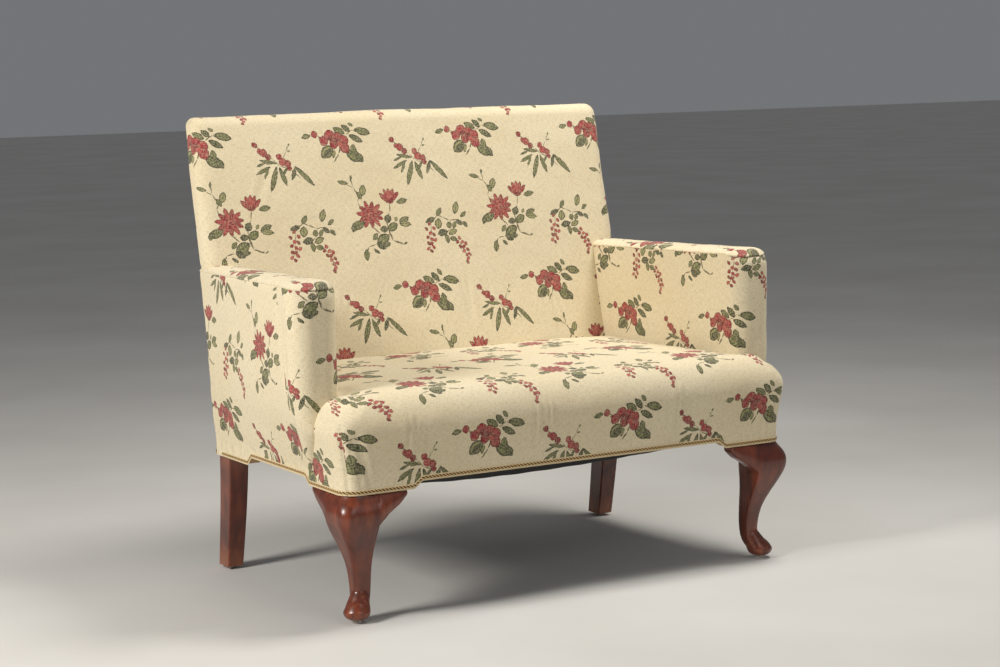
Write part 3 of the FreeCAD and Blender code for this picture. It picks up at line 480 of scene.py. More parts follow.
# The berry sprig: berries on thin stems over a fan of narrow lance leaves.
at = sprig_place(-335, 885)
greens = lay_stems(at, greens, [
    (2.0, (-393, 942), (-378, 928), (-352, 908), (-338, 893)),
    (2.0, (-338, 893), (-312, 884), (-290, 862)),
    (1.6, (-331, 905), (-318, 925), (-312, 938)),
])
greens = lay_shapes(at, greens, leaf_belly, [
    (-312, 926, 9, 4, 10, mid), (-310, 940, 8, 4, 70, mid), (-365, 903, 42, 9, 168, mid),
    (-379, 884, 42, 9, 25, mid), (-384, 897, 24, 6, 20, deep), (-372, 877, 28, 7, 62, mid),
    (-356, 864, 62, 13, 70, mid), (-333, 869, 46, 12, 108, mid), (-306, 875, 34, 10, 68, dark),
    (-280, 868, 64, 12, 132, mid), (-327, 880, 22, 7, 50, deep),
])
reds = lay_shapes(at, reds, petal_belly, [
    (-393, 942, 15, 13, 140, 0.4), (-383, 928, 13, 12, 20, 0.62), (-374, 924, 20, 18, -30, 0.56),
    (-363, 914, 15, 14, 10, 0.36), (-337, 914, 15, 14, 60, 0.56), (-330, 902, 20, 18, 30, 0.66),
    (-318, 897, 18, 17, 80, 0.5), (-315, 887, 13, 12, 0, 0.4),
])

# The chrysanthemum branch: a many-petalled flower and a half-open one on a leafy branch.
at = sprig_place(-110, 770)
greens = lay_stems(at, greens, [
    (2.2, (-148, 780), (-158, 803), (-152, 814), (-165, 838), (-167, 858)),
    (1.8, (-165, 836), (-180, 844)),
    (3.0, (-130, 745), (-112, 728), (-95, 716)),
    (2.6, (-77, 796), (-80, 776), (-92, 758), (-90, 735)),
    (4.4, (-91, 738), (-82, 711), (-56, 701), (-46, 705)),
    (2.6, (-104, 712), (-128, 704), (-146, 700), (-153, 688)),
])
greens = lay_shapes(at, greens, leaf_belly, [
    (-189, 849, 28, 10, 165, mid), (-167, 858, 15, 6, 80, deep), (-141, 829, 26, 17, 70, light),
    (-151, 818, 20, 12, 120, mid), (-165, 750, 40, 20, 20, mid), (-176, 744, 20, 12, 60, deep),
    (-45, 800, 30, 13, 10, mid), (-47, 757, 30, 14, 20, mid), (-45, 747, 32, 13, -8, light),
    (-78, 742, 30, 20, 30, mid), (-88, 761, 22, 18, 60, dark), (-101, 738, 22, 15, 0, dark),
    (-107, 715, 40, 24, 30, mid), (-126, 722, 20, 12, 50, mid), (-114, 700, 26, 15, -30, dark),
    (-100, 703, 22, 12, 10, deep), (-154, 682, 28, 14, 85, mid), (-128, 689, 18, 8, -40, dark),
    (-67, 760, 12, 8, 60, light),
])
flower_u, flower_v = -130, 773
reds = lay_shapes(at, reds, petal_belly, [
    (
        flower_u + math.cos(math.radians(turn)) * 19, flower_v + math.sin(math.radians(turn)) * 17,
        35 if k % 2 else 29, 12, turn, 0.62 if k % 2 else 0.44,
    )
    for k, turn in enumerate(range(8, 368, 33))
])
reds = lay_shapes(at, reds, petal_belly, [
    (flower_u, flower_v, 16, 13, 30, 0.82), (flower_u + 1, flower_v - 1, 8, 7, 0, 0.3),
    (-90, 810, 30, 11, 135, 0.5), (-62, 811, 30, 11, 45, 0.5), (-83, 816, 30, 11, 110, 0.62),
    (-69, 816, 30, 11, 70, 0.58), (-76, 817, 30, 11, 90, 0.7), (-76, 800, 20, 9, 0, 0.3),
])

# The wisteria sprig: a curved twig of round leaves with two hanging trails of small flowers.
at = sprig_place(60, 715)
greens = lay_stems(at, greens, [
    (2.2, (26, 748), (42, 763), (56, 757), (72, 749), (100, 750)),
    (1.6, (22, 742), (18, 715), (10, 685)),
    (1.6, (80, 712), (95, 690), (112, 655)),
    (1.6, (76, 750), (70, 730), (58, 718)),
])
greens = lay_shapes(at, greens, leaf_belly, [
    (22, 752, 28, 13, 18, dark), (47, 770, 24, 12, 55, mid), (42, 743, 26, 19, 80, light),
    (93, 777, 30, 16, 70, light), (111, 761, 20, 10, 35, mid), (98, 743, 20, 11, -30, dark),
    (113, 738, 18, 10, -50, deep), (84, 738, 20, 10, 60, mid), (70, 738, 16, 14, 100, mid),
    (50, 722, 28, 16, 10, dark), (60, 708, 24, 12, 100, mid), (77, 722, 26, 14, 20, light),
    (76, 706, 20, 12, -20, mid),
])
trails = [
    (8, 732), (18, 744), (28, 733), (17, 722), (26, 719), (9, 713), (19, 708), (28, 706), (9, 699), (17, 698),
    (21, 690), (6, 687), (14, 681), (86, 698), (92, 707), (98, 697), (92, 687), (101, 686), (107, 693),
    (100, 676), (110, 679), (106, 667), (114, 668), (108, 658), (105, 650),
]
reds = lay_shapes(at, reds, petal_belly, [
    (u, v, 11, 8, 40 if k % 2 else -50, 0.34 + 0.14 * (k % 4)) for k, (u, v) in enumerate(trails)
])


def shape_shading(heap, belly):
    """Where the print is, how near its outline, and the place across, along and tone of it."""
    along, across, tone = split(tree, heap)
    flat = vector_step("MULTIPLY", vector_step("ABSOLUTE", heap), (1, 1, 0))
    off = vector_step("DISTANCE", flat, (0, -belly, 0), out="Value")
    edge = math.hypot(1, belly)
    outline = spread(tree, off, edge * 0.84, edge * 0.94)
    printed = reckon(tree, "GREATER_THAN", tone, 0.05)
    return printed, outline, reckon(tree, "ABSOLUTE", across), along, tone


slubs = []
for stretch in ((0.1, 0.6, 1.0), (0.6, 0.1, 1.0)):
    lines = add_node(tree, "Mapping", {"Vector": cut, "Scale": stretch})
    slubs.append(add_node(tree, "TexNoise", {"Vector": lines, "Scale": 1.0, "Detail": 3.0}))
cloth_lines = reckon(tree, "ADD", *slubs)
cream = grade(tree, cloth_lines, (0.75, 207, 192, 157), (0.98, 218, 204, 172), (1.0, 227, 214, 184))
room = add_node(tree, "TexCoord", out="Object")
soil = add_node(tree, "TexNoise", {"Vector": room, "Scale": 4.2, "Detail": 4.0})
ground = mix_colour(tree, spread(tree, soil, 0.42, 0.8, high=0.35), cream, dye(205, 184, 138))

printed, outline, across, along, tone = shape_shading(greens, leaf_belly)
leaf_colour = grade(
    tree, tone, (0.1, 42, 50, 42), (0.3, 66, 74, 50), (0.5, 98, 104, 64), (0.78, 138, 138, 90),
    (0.95, 84, 70, 46),
)
slant = reckon(tree, "MULTIPLY_ADD", across, -13.0, reckon(tree, "MULTIPLY", along, 15.0))
veins = spread(tree, reckon(tree, "SINE", slant), 0.2, 1.0, high=0.5)
leaf_colour = mix_colour(tree, veins, leaf_colour, dye(168, 164, 114))
midrib = spread(tree, across, 0.09, 0.03, high=0.8)
leaf_colour = mix_colour(tree, midrib, leaf_colour, dye(56, 60, 44))
leaf_colour = mix_colour(tree, outline, leaf_colour, dye(40, 42, 30))
ground = mix_colour(tree, printed, ground, leaf_colour)

printed, outline, across, along, tone = shape_shading(reds, petal_belly)
petal_colour = grade(
    tree, tone, (0.2, 98, 22, 34), (0.42, 134, 34, 46), (0.62, 158, 50, 58), (0.82, 184, 88, 82)
)
streaks = reckon(tree, "SINE", reckon(tree, "MULTIPLY", across, 26.0))
tip_streaks = reckon(tree, "MULTIPLY", streaks, spread(tree, along, -0.2, 0.9))
streak_share = spread(tree, tip_streaks, 0.0, 1.0, high=0.3)
petal_colour = mix_colour(tree, streak_share, petal_colour, dye(98, 22, 32))
petal_colour = mix_colour(tree, outline, petal_colour, dye(88, 22, 30))
ground = mix_colour(tree, printed, ground, petal_colour)
ground = mix_colour(tree, spread(tree, cloth_lines, 0.9, 1.25, high=0.4), ground, dye(222, 208, 170))
dress(tree, surface, ground, 0.88, cloth_lines, (0.2, 0.0006))
surface.inputs["Sheen Weight"].default_value = 0.12
surface.inputs["Specular IOR Level"].default_value = 0.3


# Seat: hair and wadding on the burlap, pulled down tight under one width of printed cloth that
# is tacked under the rails. Its front corners stand out as ears in front of the arms, and the
# cloth dips where it is pushed down beside the arms and the back.
def between(low_value, high_value, place, low_place, high_place):
    """Runs from one value to the other between two places, and stays level beyond them."""
    share = np.clip((place - low_place) / (high_place - low_place), 0, 1)
    return low_value + (high_value - low_value) * share


def ease(share):
    """Soft start and soft end for a step from 0 to 1."""
    share = np.clip(share, 0, 1)
    return share * share * (3 - 2 * share)


def line(start, end, count):
    """Points from start up to but not at end."""
    return np.linspace(start, end, count, endpoint=False)


def corner(middle, radius, first_turn, last_turn):
    """Points round part of a circle, up to but not at its end."""
    turns = np.radians(line(first_turn, last_turn, corner_count))
    return np.stack([middle[0] + radius * np.cos(turns), middle[1] + radius * np.sin(turns)], 1)


def round_plan(front, half, rear_half, y0, y1, r, rear_r, side_count, rear_count):
    """Plan of a block with round corners, from the left end of its front, given as points."""
    right = np.stack([line(half, rear_half, side_count), line(y0 + r, y1 - rear_r, side_count)], 1)
    rear_end = rear_half - rear_r
    rear = np.stack([line(rear_end, -rear_end, rear_count), np.full(rear_count, y1)], 1)
    left = np.stack([line(-rear_half, -half, side_count), line(y1 - rear_r, y0 + r, side_count)], 1)
    return np.concatenate([
        front, corner((half - r, y0 + r), r, -90, 0), right,
        corner((rear_end, y1 - rear_r), rear_r, 0, 90), rear,
        corner((-rear_end, y1 - rear_r), rear_r, 90, 180), left,
        corner((-half + r, y0 + r), r, 180, 270),
    ])


def surface_normals(rows):
    """Outward directions of a closed skin of rings."""
    round_about = np.roll(rows, -1, 1) - np.roll(rows, 1, 1)
    upward = np.gradient(rows, axis=0)
    out = np.cross(round_about, upward)
    return out / np.maximum(np.linalg.norm(out, axis=2, keepdims=True), 1e-9)


def run_round(rows):
    """Length of cloth round each ring, from its first point up to every point and back to it."""
    steps = np.linalg.norm(np.roll(rows, -1, 1) - rows, axis=2)
    return np.concatenate([np.zeros((len(rows), 1)), np.cumsum(steps, 1)], 1)


def gentle_waves(points, spacing, seed, count=7):
    """Smooth unevenness from about -1 to 1 at each point, the same on every run."""
    dice = np.random.default_rng(seed)
    total = np.zeros(points.shape[:-1])
    for _ in range(count):
        direction = dice.normal(size=3)
        direction /= np.linalg.norm(direction)
        waves = points @ direction * (2 * math.pi / (spacing * dice.uniform(0.7, 1.5)))
        total += np.sin(waves + dice.uniform(0, 6.3))
    return total / math.sqrt(count)


def pull_in_cloth(points, normals, pulls):
    """Moves cloth into short ridges: each pull has a middle, a direction, length, width, height."""
    for middle, direction, length, width, height in pulls:
        direction = np.array(direction, float) / np.linalg.norm(direction)
        offset = points - np.array(middle, float)
        run = offset @ direction
        sideways = np.linalg.norm(offset - run[..., None] * direction, axis=-1)
        side_sign = np.sign((np.cross(normals, direction) * offset).sum(-1))
        across = sideways * side_sign
        strength = np.exp(-(run / (length / 2)) ** 2) * np.exp(-(sideways / (1.6 * width)) ** 2)
        points = points + normals * (height * strength * np.cos(across * math.pi / width))[..., None]
    return points


def face_sides(values, closed=True):
    """Pairs each column's value with the next column's, for the two sides of every face."""
    pairs = np.stack([values, np.roll(values, -1, 1)], -1)
    return pairs if closed else pairs[:, :-1]


def sew(name, rows, cloth_u, cloth_v, finish, closed=True):
    """A cloth skin from rings of points. cloth_u and cloth_v give each face's two columns a place
    on the cloth, so that the print can break at a seam."""
    height, width = rows.shape[:2]
    columns = width if closed else width - 1
    index = np.arange(height * width).reshape(height, width)
    following = np.roll(index, -1, 1)[:, :columns]
    index = index[:, :columns]
    faces = np.stack([index[:-1], following[:-1], following[1:], index[1:]], -1).reshape(-1, 4)
    mesh = bpy.data.meshes.new(name)
    mesh.from_pydata((rows.reshape(-1, 3) * MM).tolist(), [], faces.tolist())
    round_face = [
        np.stack([side[:-1, :, 0], side[:-1, :, 1], side[1:, :, 1], side[1:, :, 0]], -1)
        for side in (cloth_u, cloth_v)
    ]
    chart = mesh.uv_layers.new(name="Cloth")
    chart.data.foreach_set("uv", np.stack(round_face, -1).reshape(-1).astype(np.float32))
    mesh.polygons.foreach_set("use_smooth", np.ones(len(faces), bool))
    mesh.materials.append(finish)
    mesh.update()
    piece = bpy.data.objects.new(name, mesh)
    stage.collection.objects.link(piece)
    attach(piece, "root")
    return piece


seat_low, seat_high = (np.array(p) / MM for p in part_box("seat_cover"))
seat_front_bulge = 10.0
seat_side_bulge = 19.0
front_y = seat_low[1] + seat_front_bulge
rear_y = front_y + 650.0
seat_half_front = 543.0
seat_half_rear = 524.0
cloth_low = seat_low[2]
cloth_straight = cloth_low + 30.0
cloth_high = cloth_low + 14.5
step_inner, step_outer = 366.0, 390.0
side_step_front, side_step_rear, step_run = 162.0, 478.0, 24.0
rear_edge = cloth_high - 18.0
halfway_back = front_y + 300.0


def lower_edge(x, y):
    """Height of the cloth's lower edge: it hangs lower over the legs."""
    near_leg = np.where(y > halfway_back, rear_edge, cloth_low)
    on_side = np.abs(x) > seat_half_rear - 12.0
    side_share = np.minimum(
        ease((y - front_y - side_step_front) / step_run), ease((front_y + side_step_rear - y) / step_run)
    )
    front_share = ease((step_outer - np.abs(x)) / (step_outer - step_inner))
    share = np.where(on_side, side_share, front_share)
    return near_leg + (cloth_high - near_leg) * share


front_count, corner_count, side_count, rear_count = 220, 14, 120, 30


def seat_ring(side_in, front_in, rear_in, radius):
    """Plan of the seat, from the left end of its front, set in from the braid line."""
    half, rear_half = seat_half_front - side_in, seat_half_rear - side_in
    y0, y1 = front_y + front_in, rear_y - rear_in
    front = np.stack([line(radius - half, half - radius, front_count), np.full(front_count, y0)], 1)
    return round_plan(front, half, rear_half, y0, y1, radius, radius, side_count, rear_count)


seat_top = 455.0
seat_roll = 68.0
roll_side, roll_front, roll_rear = 78.0, 60.0, 30.0
seat_crown = seat_high[2] - seat_top
crown_middle = np.array([0.0, -30.0])
shoulder_low = seat_top - seat_roll
corner_radius, fuller_radius, top_radius = 35.0, 45.0, 75.0
skirt_rows, belly_rows, shoulder_rows, top_rows = 7, 15, 19, 26
rows, heights = [], []
for share in np.linspace(0, 1, skirt_rows):
    rows.append(seat_ring(0, 0, 0, corner_radius))
    heights.append(cloth_low + share * (cloth_straight - cloth_low))
for share in np.linspace(0, 1, belly_rows)[1:]:
    bulge = share ** 1.3
    radius = corner_radius + (fuller_radius - corner_radius) * bulge
    rows.append(seat_ring(-seat_side_bulge * bulge, -seat_front_bulge * bulge, 0, radius))
    heights.append(cloth_straight + share * (shoulder_low - cloth_straight))
for turn in np.radians(np.linspace(0, 90, shoulder_rows)[1:]):
    draw = 1 - math.cos(turn)
    radius = fuller_radius + (top_radius - fuller_radius) * draw
    side_in, front_in = roll_side * draw - seat_side_bulge, roll_front * draw - seat_front_bulge
    rows.append(seat_ring(side_in, front_in, roll_rear * draw, radius))
    heights.append(shoulder_low + seat_roll * math.sin(turn))
top_row = len(rows) - 1
for share in np.linspace(0, 1, top_rows)[1:]:
    rows.append(crown_middle + (rows[top_row] - crown_middle) * (1 - share * 0.985))
    heights.append(seat_top + seat_crown * (1 - (1 - share) ** 2.2))
plan = np.array(rows)
seat = np.concatenate([plan, np.broadcast_to(np.array(heights)[:, None, None], plan.shape[:2] + (1,))], 2)

arm_front_y = front_y + 95.0
arm_inner_front, arm_inner_rear = 490.0, 463.0
under_ear, ear_top = 50.0, 380.0
inner_low = cloth_straight + 8.0
back_foot, back_edge_y, back_edge_lean = 460.0, front_y + 588.0, 0.199
fullest_crown, middle_crown, top_crown = 38.0, 24.0, 3.0


def arm_inner_x(y):
    """Inner face of the arm."""
    return arm_inner_front + (arm_inner_rear - arm_inner_front) * (y - arm_front_y) / (rear_y - arm_front_y)


def arm_front_line(z):
    """Front of the arm: upright above the seat, running back under the ear of the seat."""
    return arm_front_y + between(under_ear, 0.0, z, cloth_straight, ear_top)


def back_edge_line(z):
    """Inside back along its left and right edges."""
    return back_edge_y + (z - back_foot) * back_edge_lean


def back_crown(z):
    """How far the middle of the inside back stands in front of its edges."""
    lower_crown = between(fullest_crown, middle_crown, z, back_foot, 600.0)
    return np.where(z < 600, lower_crown, between(middle_crown, top_crown, z, 600.0, 1000.0))


arm_dip, arm_dip_width = 9.0, 22.0
back_dip, back_dip_width = 10.0, 30.0
tuck_in = 13.0
x, y, z = seat[..., 0], seat[..., 1], seat[..., 2].copy()
edge_height = lower_edge(x, y)
skirt_share = (z - cloth_low) / (cloth_straight - cloth_low)
z = np.where(z < cloth_straight, edge_height + skirt_share * (cloth_straight - edge_height), z)
beside_arm = np.exp(-((np.abs(x) - arm_inner_x(y)) / arm_dip_width) ** 2)
beside_arm = beside_arm * ease((y - arm_front_y + 30) / 50)
back_front = back_edge_line(z) - back_crown(z) * (1 - (x / 500) ** 2)
beside_back = np.exp(-((y - back_front) / back_dip_width) ** 2)
z = z - ease((z - 400) / 40) * np.maximum(arm_dip * beside_arm, back_dip * beside_back)
under_arm = ease((y - arm_front_line(z) - 12) / 24) * (np.abs(x) > arm_inner_rear)
x = x - np.sign(x) * tuck_in * under_arm
z = z + np.maximum(under_arm, y > rear_y - 40) * np.maximum(0, inner_low - z)
y = np.minimum(y, rear_y - 12.0)
seat = np.stack([x, y, z], -1)
normals = surface_normals(seat)

# Each front corner has a pleat, the left ear has a hollow beside it, and the cloth is pulled
# into ridges along the front, at the corners and where it goes down beside the arms.
pleat_depth, pleat_lip, hollow_depth = 2.6, 0.8, 6.0
ear_shoulder = 385.0
waves = 0.9 * gentle_waves(seat, spacing=210, seed=3)
waves = waves + 0.35 * gentle_waves(seat, spacing=60, seed=4)
firm = ease((seat[..., 2] - cloth_straight) / 30)
corner_columns = np.array([front_count + corner_count // 2, seat.shape[1] - corner_count // 2])
off_pleat = np.abs(np.arange(seat.shape[1])[:, None] - corner_columns).min(1)
pleat = pleat_depth * np.exp(-(off_pleat / 0.8) ** 2) - pleat_lip * np.exp(-(off_pleat - 2.2) ** 2)
pleat = pleat * (1 - ease((seat[..., 2] - ear_shoulder + 10) / 45))
seat = seat + normals * (firm * waves)[..., None]
seat = seat - normals * pleat[..., None]
hollow = hollow_depth * np.exp(-((seat[..., 0] + 520) / 15) ** 2 - ((seat[..., 2] - 372) / 30) ** 2)
seat[..., 1] += hollow * (seat[..., 1] < front_y + 40)
seat = pull_in_cloth(seat, normals, [
    ((-395, front_y - 6, 372), (0.05, 0, 1), 70, 9, 4.5),
    ((-372, front_y - 6, 350), (0.12, 0, 1), 80, 8, 3.5),
    ((-96, front_y - 7, 365), (0.02, 0, 1), 90, 9, 3.5),
    ((-62, front_y - 7, 380), (-0.06, 0, 1), 70, 8, 3.1),
    ((262, front_y - 7, 370), (0.04, 0, 1), 90, 9, 3.5),
    ((430, front_y - 6, 360), (0.1, 0, 1), 70, 8, 3.1),
    ((-505, front_y + 8, 350), (-0.08, 0.1, 1), 120, 10, 4.5),
    ((498, front_y + 8, 350), (0.08, 0.1, 1), 120, 10, 4.5),
    ((-500, front_y + 60, 448), (1, 0.5, 0), 80, 12, 5.5),
    ((500, front_y + 60, 448), (-1, 0.5, 0), 80, 12, 5.5),
    ((-470, arm_front_y + 20, 462), (1, -0.3, 0), 60, 9, 4.9),
    ((470, arm_front_y + 20, 462), (-1, -0.3, 0), 60, 9, 4.9),
])

# One width of cloth covers the front, the top and the shoulders of the ears. The cloth is
# pulled over and round the left ear, and below its pleat another part of the print shows.
seat_u_shift, seat_v_shift = 27.0, 587.5
ear_u_shift, ear_v_shift, ear_print_top = -65.0, 638.0, 396.0
over_ear, round_ear, up_ear = 22.0, 12.0, 18.0
blend_rows = 12
steps = np.linalg.norm(np.diff(seat, axis=0), axis=2)
climb = np.concatenate([np.zeros((1, seat.shape[1])), np.cumsum(steps, 0)]) + edge_height[:1]
middle_column = front_count // 2
front_v = climb[:, middle_column, None] + seat_v_shift
top_v = front_v[top_row] + seat[..., 1] - seat[top_row, middle_column, 1]
flat_u = seat[..., 0] + seat_u_shift
seat_run = run_round(seat)
run, whole_round = seat_run[:, :-1], seat_run[:, -1:]
rear_middle = front_count + corner_count + side_count + corner_count + rear_count // 2
ear_start = seat.shape[1] - corner_count
columns = np.arange(seat.shape[1])
row_numbers = np.arange(len(seat))[:, None]
right_u = run - run[:, front_count, None] + flat_u[:, front_count, None]
left_u = run - whole_round + flat_u[:, :1]
round_u = np.where(columns < front_count, flat_u, np.where(columns < rear_middle, right_u, left_u))
above = ease((row_numbers - top_row + blend_rows) / blend_rows)
cloth_u = round_u + (flat_u - round_u) * above
cloth_v = front_v + (top_v - front_v) * np.where(columns < front_count, row_numbers > top_row, above)
pulled_over = ease((-seat[..., 0] - 400) / 110) * ease((seat[..., 2] - ear_shoulder) / 45)
pulled_round = ease((-seat[..., 0] - 500) / 40) * (1 - ease((seat[..., 2] - ear_shoulder) / 30))
cloth_u = cloth_u + over_ear * pulled_over + round_ear * pulled_round
cloth_v = cloth_v + up_ear * pulled_over
u_pairs, v_pairs = face_sides(cloth_u), face_sides(cloth_v)
ear_u = run - run[:, ear_start, None] - (seat[:, ear_start, 1] - front_y)[:, None] + ear_u_shift
ear_rows = np.nonzero(np.array(heights) < ear_print_top)[0]
ear_columns = np.nonzero((columns >= rear_middle) & (columns < ear_start + corner_count // 2))[0]
ear_faces = np.ix_(ear_rows, ear_columns)
u_pairs[ear_faces] = face_sides(ear_u)[ear_faces]
v_pairs[ear_faces] = (face_sides(climb) + ear_v_shift)[ear_faces]
seat_piece = sew("seat_upholstery", seat, u_pairs, v_pairs, printed_cloth)
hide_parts("seat_cover", "seat_pad", "seat_edge_pad")

# Arms: a post and a top board wrapped in wadding and cloth. One panel covers the front and the
# inside of the arm and turns round the front corner, where a seam joins it to the outside panel.
arm_seam = 671.0
arm_fall = 7.0
front_softness, front_droop = 9.0, 6.0
arm_outer_front, arm_outer_rear = 595.0, 540.0
arm_flare_top = 430.0
arm_radius, arm_radius_low = 39.0, 18.0
arm_rear_radius, arm_rear_radius_low = 18.0, 4.0
bend_height = 460.0
back_rake = 0.2
seam_low_y, seam_high_y, seam_hook = 147.0, 198.0, 20.0
seam_bend, seam_top = 385.0, 666.0
seam_count, face_count, inner_count, outer_count, end_count = 16, 12, 110, 90, 8


def back_rear_line(z):
    """Outside back: upright up to the bend, raked above it."""
    return rear_y + np.maximum(z - bend_height, 0) * back_rake


def seat_side_x(y):
    """Side of the seat along its braid."""
    return between(seat_half_front, seat_half_rear, y, front_y, rear_y)


def arm_outer_x(y, z):
    """Outer face of the arm, which leans out above the seat rail and then stands upright."""
    flare = arm_flare_top - cloth_straight
    leans = [np.minimum(1, (z + shift - cloth_straight) / flare) for shift in range(-45, 46, 5)]
    lean = np.clip(np.mean(leans, axis=0), 0, 1)
    front = seat_side_x(arm_front_y) + (arm_outer_front - seat_side_x(arm_front_y)) * lean
    rear = seat_half_rear + (arm_outer_rear - seat_half_rear) * lean
    return front + (rear - front) * (y - arm_front_y) / (rear_y - arm_front_y)


def outer_seam_y(z):
    """Where the seam runs on the outer face."""
    lean_back = between(seam_low_y, seam_high_y, z, seam_bend, seam_top)
    return front_y + lean_back + between(seam_hook, 0.0, z, cloth_straight, seam_bend)


def arm_ring(z, draw_in=0.0, front_roll=0.0):
    """Plan of the left arm from the seam on its outer face, round the front to the rear."""
    y0, y1 = arm_front_line(z) + draw_in + front_roll, back_rear_line(z)
    inner_front, inner_rear = arm_inner_x(y0) + draw_in, arm_inner_x(y1) + draw_in
    outer_front, outer_rear = arm_outer_x(y0, z) - draw_in, arm_outer_x(y1, z) - draw_in
    r = between(arm_radius_low, arm_radius, z, cloth_straight, bend_height) - draw_in
    rear_r = between(arm_rear_radius_low, arm_rear_radius, z, cloth_straight, arm_flare_top)
    seam_y = outer_seam_y(z)
    seam_x = -arm_outer_x(seam_y, z) + draw_in
    to_front = np.stack([line(seam_x, -outer_front, seam_count), line(seam_y, y0 + r, seam_count)], 1)
    front = np.stack([line(-outer_front + r, -inner_front - r, face_count), np.full(face_count, y0)], 1)
    inner = np.stack([line(-inner_front, -inner_rear, inner_count), line(y0 + r, y1, inner_count)], 1)
    rear = np.stack([line(-inner_rear, -outer_rear + rear_r, end_count), np.full(end_count, y1)], 1)
    outer = np.stack([line(-outer_rear, seam_x, outer_count), line(y1 - rear_r, seam_y, outer_count)], 1)
    return np.concatenate([
        to_front, corner((-outer_front + r, y0 + r), r, 180, 270), front,
        corner((-inner_front - r, y0 + r), r, 270, 360), inner, rear,
        corner((-outer_rear + rear_r, y1 - rear_r), rear_r, 90, 180), outer,
    ])


def arm_slope(z, y):
    """Height of an arm point: the top falls a little towards the back and rolls over in front."""
    share = between(0.0, 1.0, z, cloth_straight, arm_seam)
    at_front = 1 - ease((y - arm_front_y) / 48)
    slope = arm_fall / (rear_y - arm_front_y)
    return z - slope * share * (y - arm_front_y) - front_droop * share ** 8 * at_front


def roll_over_front(z):
    """How far the front of the arm has rolled back just below its top."""
    return front_softness * (1 - math.cos(math.radians(75) * between(0, 1, z, arm_seam - 20, arm_seam)))


arm_skirt = np.linspace(cloth_low, cloth_straight, 5)
arm_above = np.linspace(cloth_straight, arm_seam, 62)[1:]
arm_rows = []
for z in np.concatenate([arm_skirt, arm_above]):
    ring = arm_ring(z, 1.6 * math.exp(-((arm_seam - z) / 5.0) ** 2), roll_over_front(z))
    x, y = ring.T
    edge_height = lower_edge(x, y)
    skirt = np.clip((z - cloth_low) / (cloth_straight - cloth_low), 0, 1)
    height = edge_height + skirt * (cloth_straight - edge_height) if z < cloth_straight else arm_slope(z, y)
    inside = ease((seat_half_rear - 9 - np.abs(x)) / 12)
    height = height + inside * np.maximum(0, inner_low + 0.1 * (z - cloth_low) - height)
    arm_rows.append(np.stack([x, y, np.broadcast_to(height, x.shape)], 1))
arm = np.array(arm_rows)
normals = surface_normals(arm)
groove_depth, groove_lip = 1.5, 0.5
seam_columns = np.minimum(np.arange(arm.shape[1]), arm.shape[1] - np.arange(arm.shape[1]))
groove = groove_depth * np.exp(-(seam_columns / 0.7) ** 2) - groove_lip * np.exp(-(seam_columns - 2.0) ** 2)
waves = 0.8 * gentle_waves(arm, spacing=170, seed=7)
waves = waves + 0.3 * gentle_waves(arm, spacing=50, seed=8)
firm = ease((arm[..., 2] - cloth_straight) / 40)
arm = arm + normals * (firm * waves - groove)[..., None]
arm = pull_in_cloth(arm, normals, [
    ((-586, -210, 520), (0, 0.25, 1), 150, 11, 1.4),
    ((-500, arm_front_y + 10, 480), (0.1, 0, 1), 90, 9, 1.4),
    ((-486, -180, 500), (0, 0.8, 1), 90, 10, 1.8),
    ((-476, 40, 490), (0, 0.3, 1), 80, 10, 1.8),
    ((-560, 120, 330), (0, 0.3, 1), 110, 12, 1.7),
    ((-552, 210, 420), (0, -0.2, 1), 120, 12, 1.4),
    ((-470, 130, 560), (0, 1, 0.9), 90, 10, 1.8),
])
arm_run = run_round(arm)
height_column = 60
arm_v = face_sides(np.broadcast_to(arm[:, height_column, 2, None], arm.shape[:2]))
front_end = seam_count + 2 * corner_count + face_count + inner_count
front_middle = seam_count + corner_count + face_count // 2
inner_middle = front_end - inner_count + int(inner_count * 0.4)
outer_middle = arm.shape[1] - outer_count // 2
front_part = (np.arange(arm.shape[1]) < front_end)[None, :, None]


def turn_over(points, u_pairs, v_pairs):
    """A mirrored skin taken the other way round, so that it faces out again."""
    return points[:, ::-1], np.roll(u_pairs[:, ::-1, ::-1], -1, 1), np.roll(v_pairs[:, ::-1, ::-1], -1, 1)


# The two arms are mirror images, but the print runs on round each arm in its own place.
left_front_u, left_outer_u, left_outer_stretch = 452.5, 135.6, 0.88
right_inner_u = 297.1
v_shifts = {"left": (79.7, 232.2), "right": (430.6, 190.0)}
for side, sign in (("left", 1), ("right", -1)):
    points = arm * (sign, 1, 1)
    if side == "left":
        front_start = points[:, front_middle, 0, None] + left_front_u
        front_u = arm_run - arm_run[:, front_middle, None] + front_start
        outer_start = left_outer_u - left_outer_stretch * (points[:, outer_middle, 1, None] - front_y)
        outer_u = left_outer_stretch * (arm_run - arm_run[:, outer_middle, None]) + outer_start
    else:
        inner_start = right_inner_u - (points[:, inner_middle, 1, None] - front_y)
        front_u = inner_start - (arm_run - arm_run[:, inner_middle, None])
        outer_u = -arm_run
    u_pairs = np.where(front_part, face_sides(front_u, closed=False), face_sides(outer_u, closed=False))
    v_pairs = arm_v + np.where(front_part, *v_shifts[side])
    if side == "right":
        points, u_pairs, v_pairs = turn_over(points, u_pairs, v_pairs)
    arm_piece = sew(f"arm_upholstery_{side}", points, u_pairs, v_pairs, printed_cloth)
    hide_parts(f"arm_cover_{side}", f"arm_pad_{side}")


